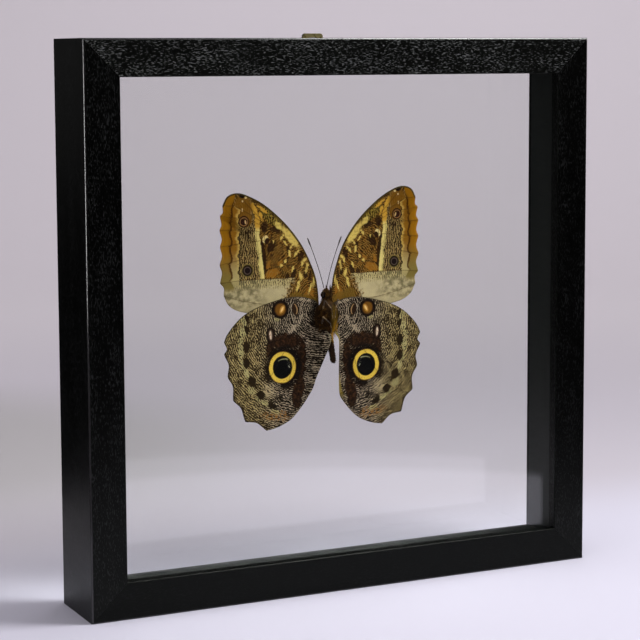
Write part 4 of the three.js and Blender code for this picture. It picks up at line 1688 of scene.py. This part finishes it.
# %% Finishes of body, legs and feelers
def body_colour(tree, at):
    """Dark brown above and at the tip, gold where the abdomen begins, olive between the legs."""
    height, across = at.axis("Z"), at.axis("X")
    patch = at.noise(2.2, 2)
    seen = at.node("ShaderNodeCombineXYZ", {}, {"X": across, "Y": height})
    colour = plain(tree, shade(50, 32, 13)).paint(shade(94, 64, 26), patch.rise(0.45, 0.7))
    colour = colour.paint(shade(116, 90, 32), seen.spot((2.0, 127.5), (2.6, 6.0)).rise(1.25, 0.6))
    gold = seen.spot((3.4, 119.5), (2.6, 6.6), 11).rise(1.2, 0.7)
    colour = colour.paint(shade(192, 142, 30), gold)
    return colour.paint(shade(52, 32, 15), height.rise(114.6, 112.4))


def hair_finish():
    made, tree, shader = material("body hair", Specular_IOR_Level=0.03, Roughness=0.7)
    at = object_place(tree)
    tone = attribute(tree, "tone")
    tip = attribute(tree, "tip")
    colour = body_colour(tree, at).darkened(tone * 0.9 + 0.5)
    colour = colour.darkened(tip * 0.5 + 0.75)
    feed(tree, shader.inputs["Base Color"], colour)
    return made


def skin_finish():
    made, tree, shader = material("body skin", Specular_IOR_Level=0.08, Roughness=0.7)
    at = object_place(tree)
    grain_of_skin = at.noise(0.3, 3)
    feed(tree, shader.inputs["Base Color"], body_colour(tree, at).darkened(grain_of_skin * 0.5 + 0.3))
    relief(tree, shader, grain_of_skin * 0.06)
    return made


def eye_finish():
    made, tree, shader = material("eye", Specular_IOR_Level=0.6, Roughness=0.18)
    at = object_place(tree)
    cells = {"Vector": at, "Scale": 9.0}
    facet = at.node("ShaderNodeTexVoronoi", {}, cells, "Distance")
    cloud = at.noise(0.8, 2)
    colour = plain(tree, shade(20, 13, 10)).paint(shade(52, 34, 22), cloud)
    feed(tree, shader.inputs["Base Color"], colour)
    relief(tree, shader, facet * -0.03)
    return made


def cuticle_finish(name, dark, pale, ring):
    """Hard skin of legs and feelers with pale scales in rings."""
    made, tree, shader = material(name, Specular_IOR_Level=0.5)
    at = object_place(tree)
    bands = (at.axis("Z") * (1 / ring) + at.noise(1.2, 2) * 0.8).wave().rise(0.2, 0.7)
    scales = at.noise(0.25, 3)
    colour = plain(tree, dark).paint(pale, bands * scales.rise(0.35, 0.6))
    feed(tree, shader.inputs["Base Color"], colour)
    feed(tree, shader.inputs["Roughness"], scales * 0.3 + 0.35)
    relief(tree, shader, scales * 0.03)
    return made


leg_cuticle = cuticle_finish("leg cuticle", shade(58, 38, 20), shade(168, 134, 82), 4.6)
feeler_cuticle = cuticle_finish("feeler cuticle", shade(58, 50, 46), shade(96, 86, 78), 0.5)
print("body finishes ready")

# %% [markdown]
# All of these were modelled in millimetres behind the front face. They are moved together to
# their place on the model and scaled to metres in their meshes, so that every object sits at
# the origin.

# %% Put them in place
FINISHES = [
    (body_skin, skin_finish(), "body", "fur"),
    (body_hair, hair_finish(), "body", "fur"),
    (eyes, eye_finish(), "body", "chitin"),
    *[(piece, leg_cuticle, name, "chitin") for name, piece in legs.items()],
    *[(piece, feeler_cuticle, name, "chitin") for name, piece in feelers.items()],
]
offset = Vector((BODY_AXIS * MM, FRONT, 0))
place_in_model = Matrix.Translation(offset) @ Matrix.Diagonal((MM, MM, MM, 1))
for piece, made, node, record_slot in FINISHES:
    piece.data.transform(piece.matrix_world)
    piece.matrix_world = Matrix.Identity(4)
    piece.data.transform(place_in_model)
    if piece != body_hair:
        outwards(piece)
    finish_with(piece, made)
    if piece in legs.values() or piece in feelers.values():
        piece.name = piece.data.name = node + "_shape"
    settle(piece, node)
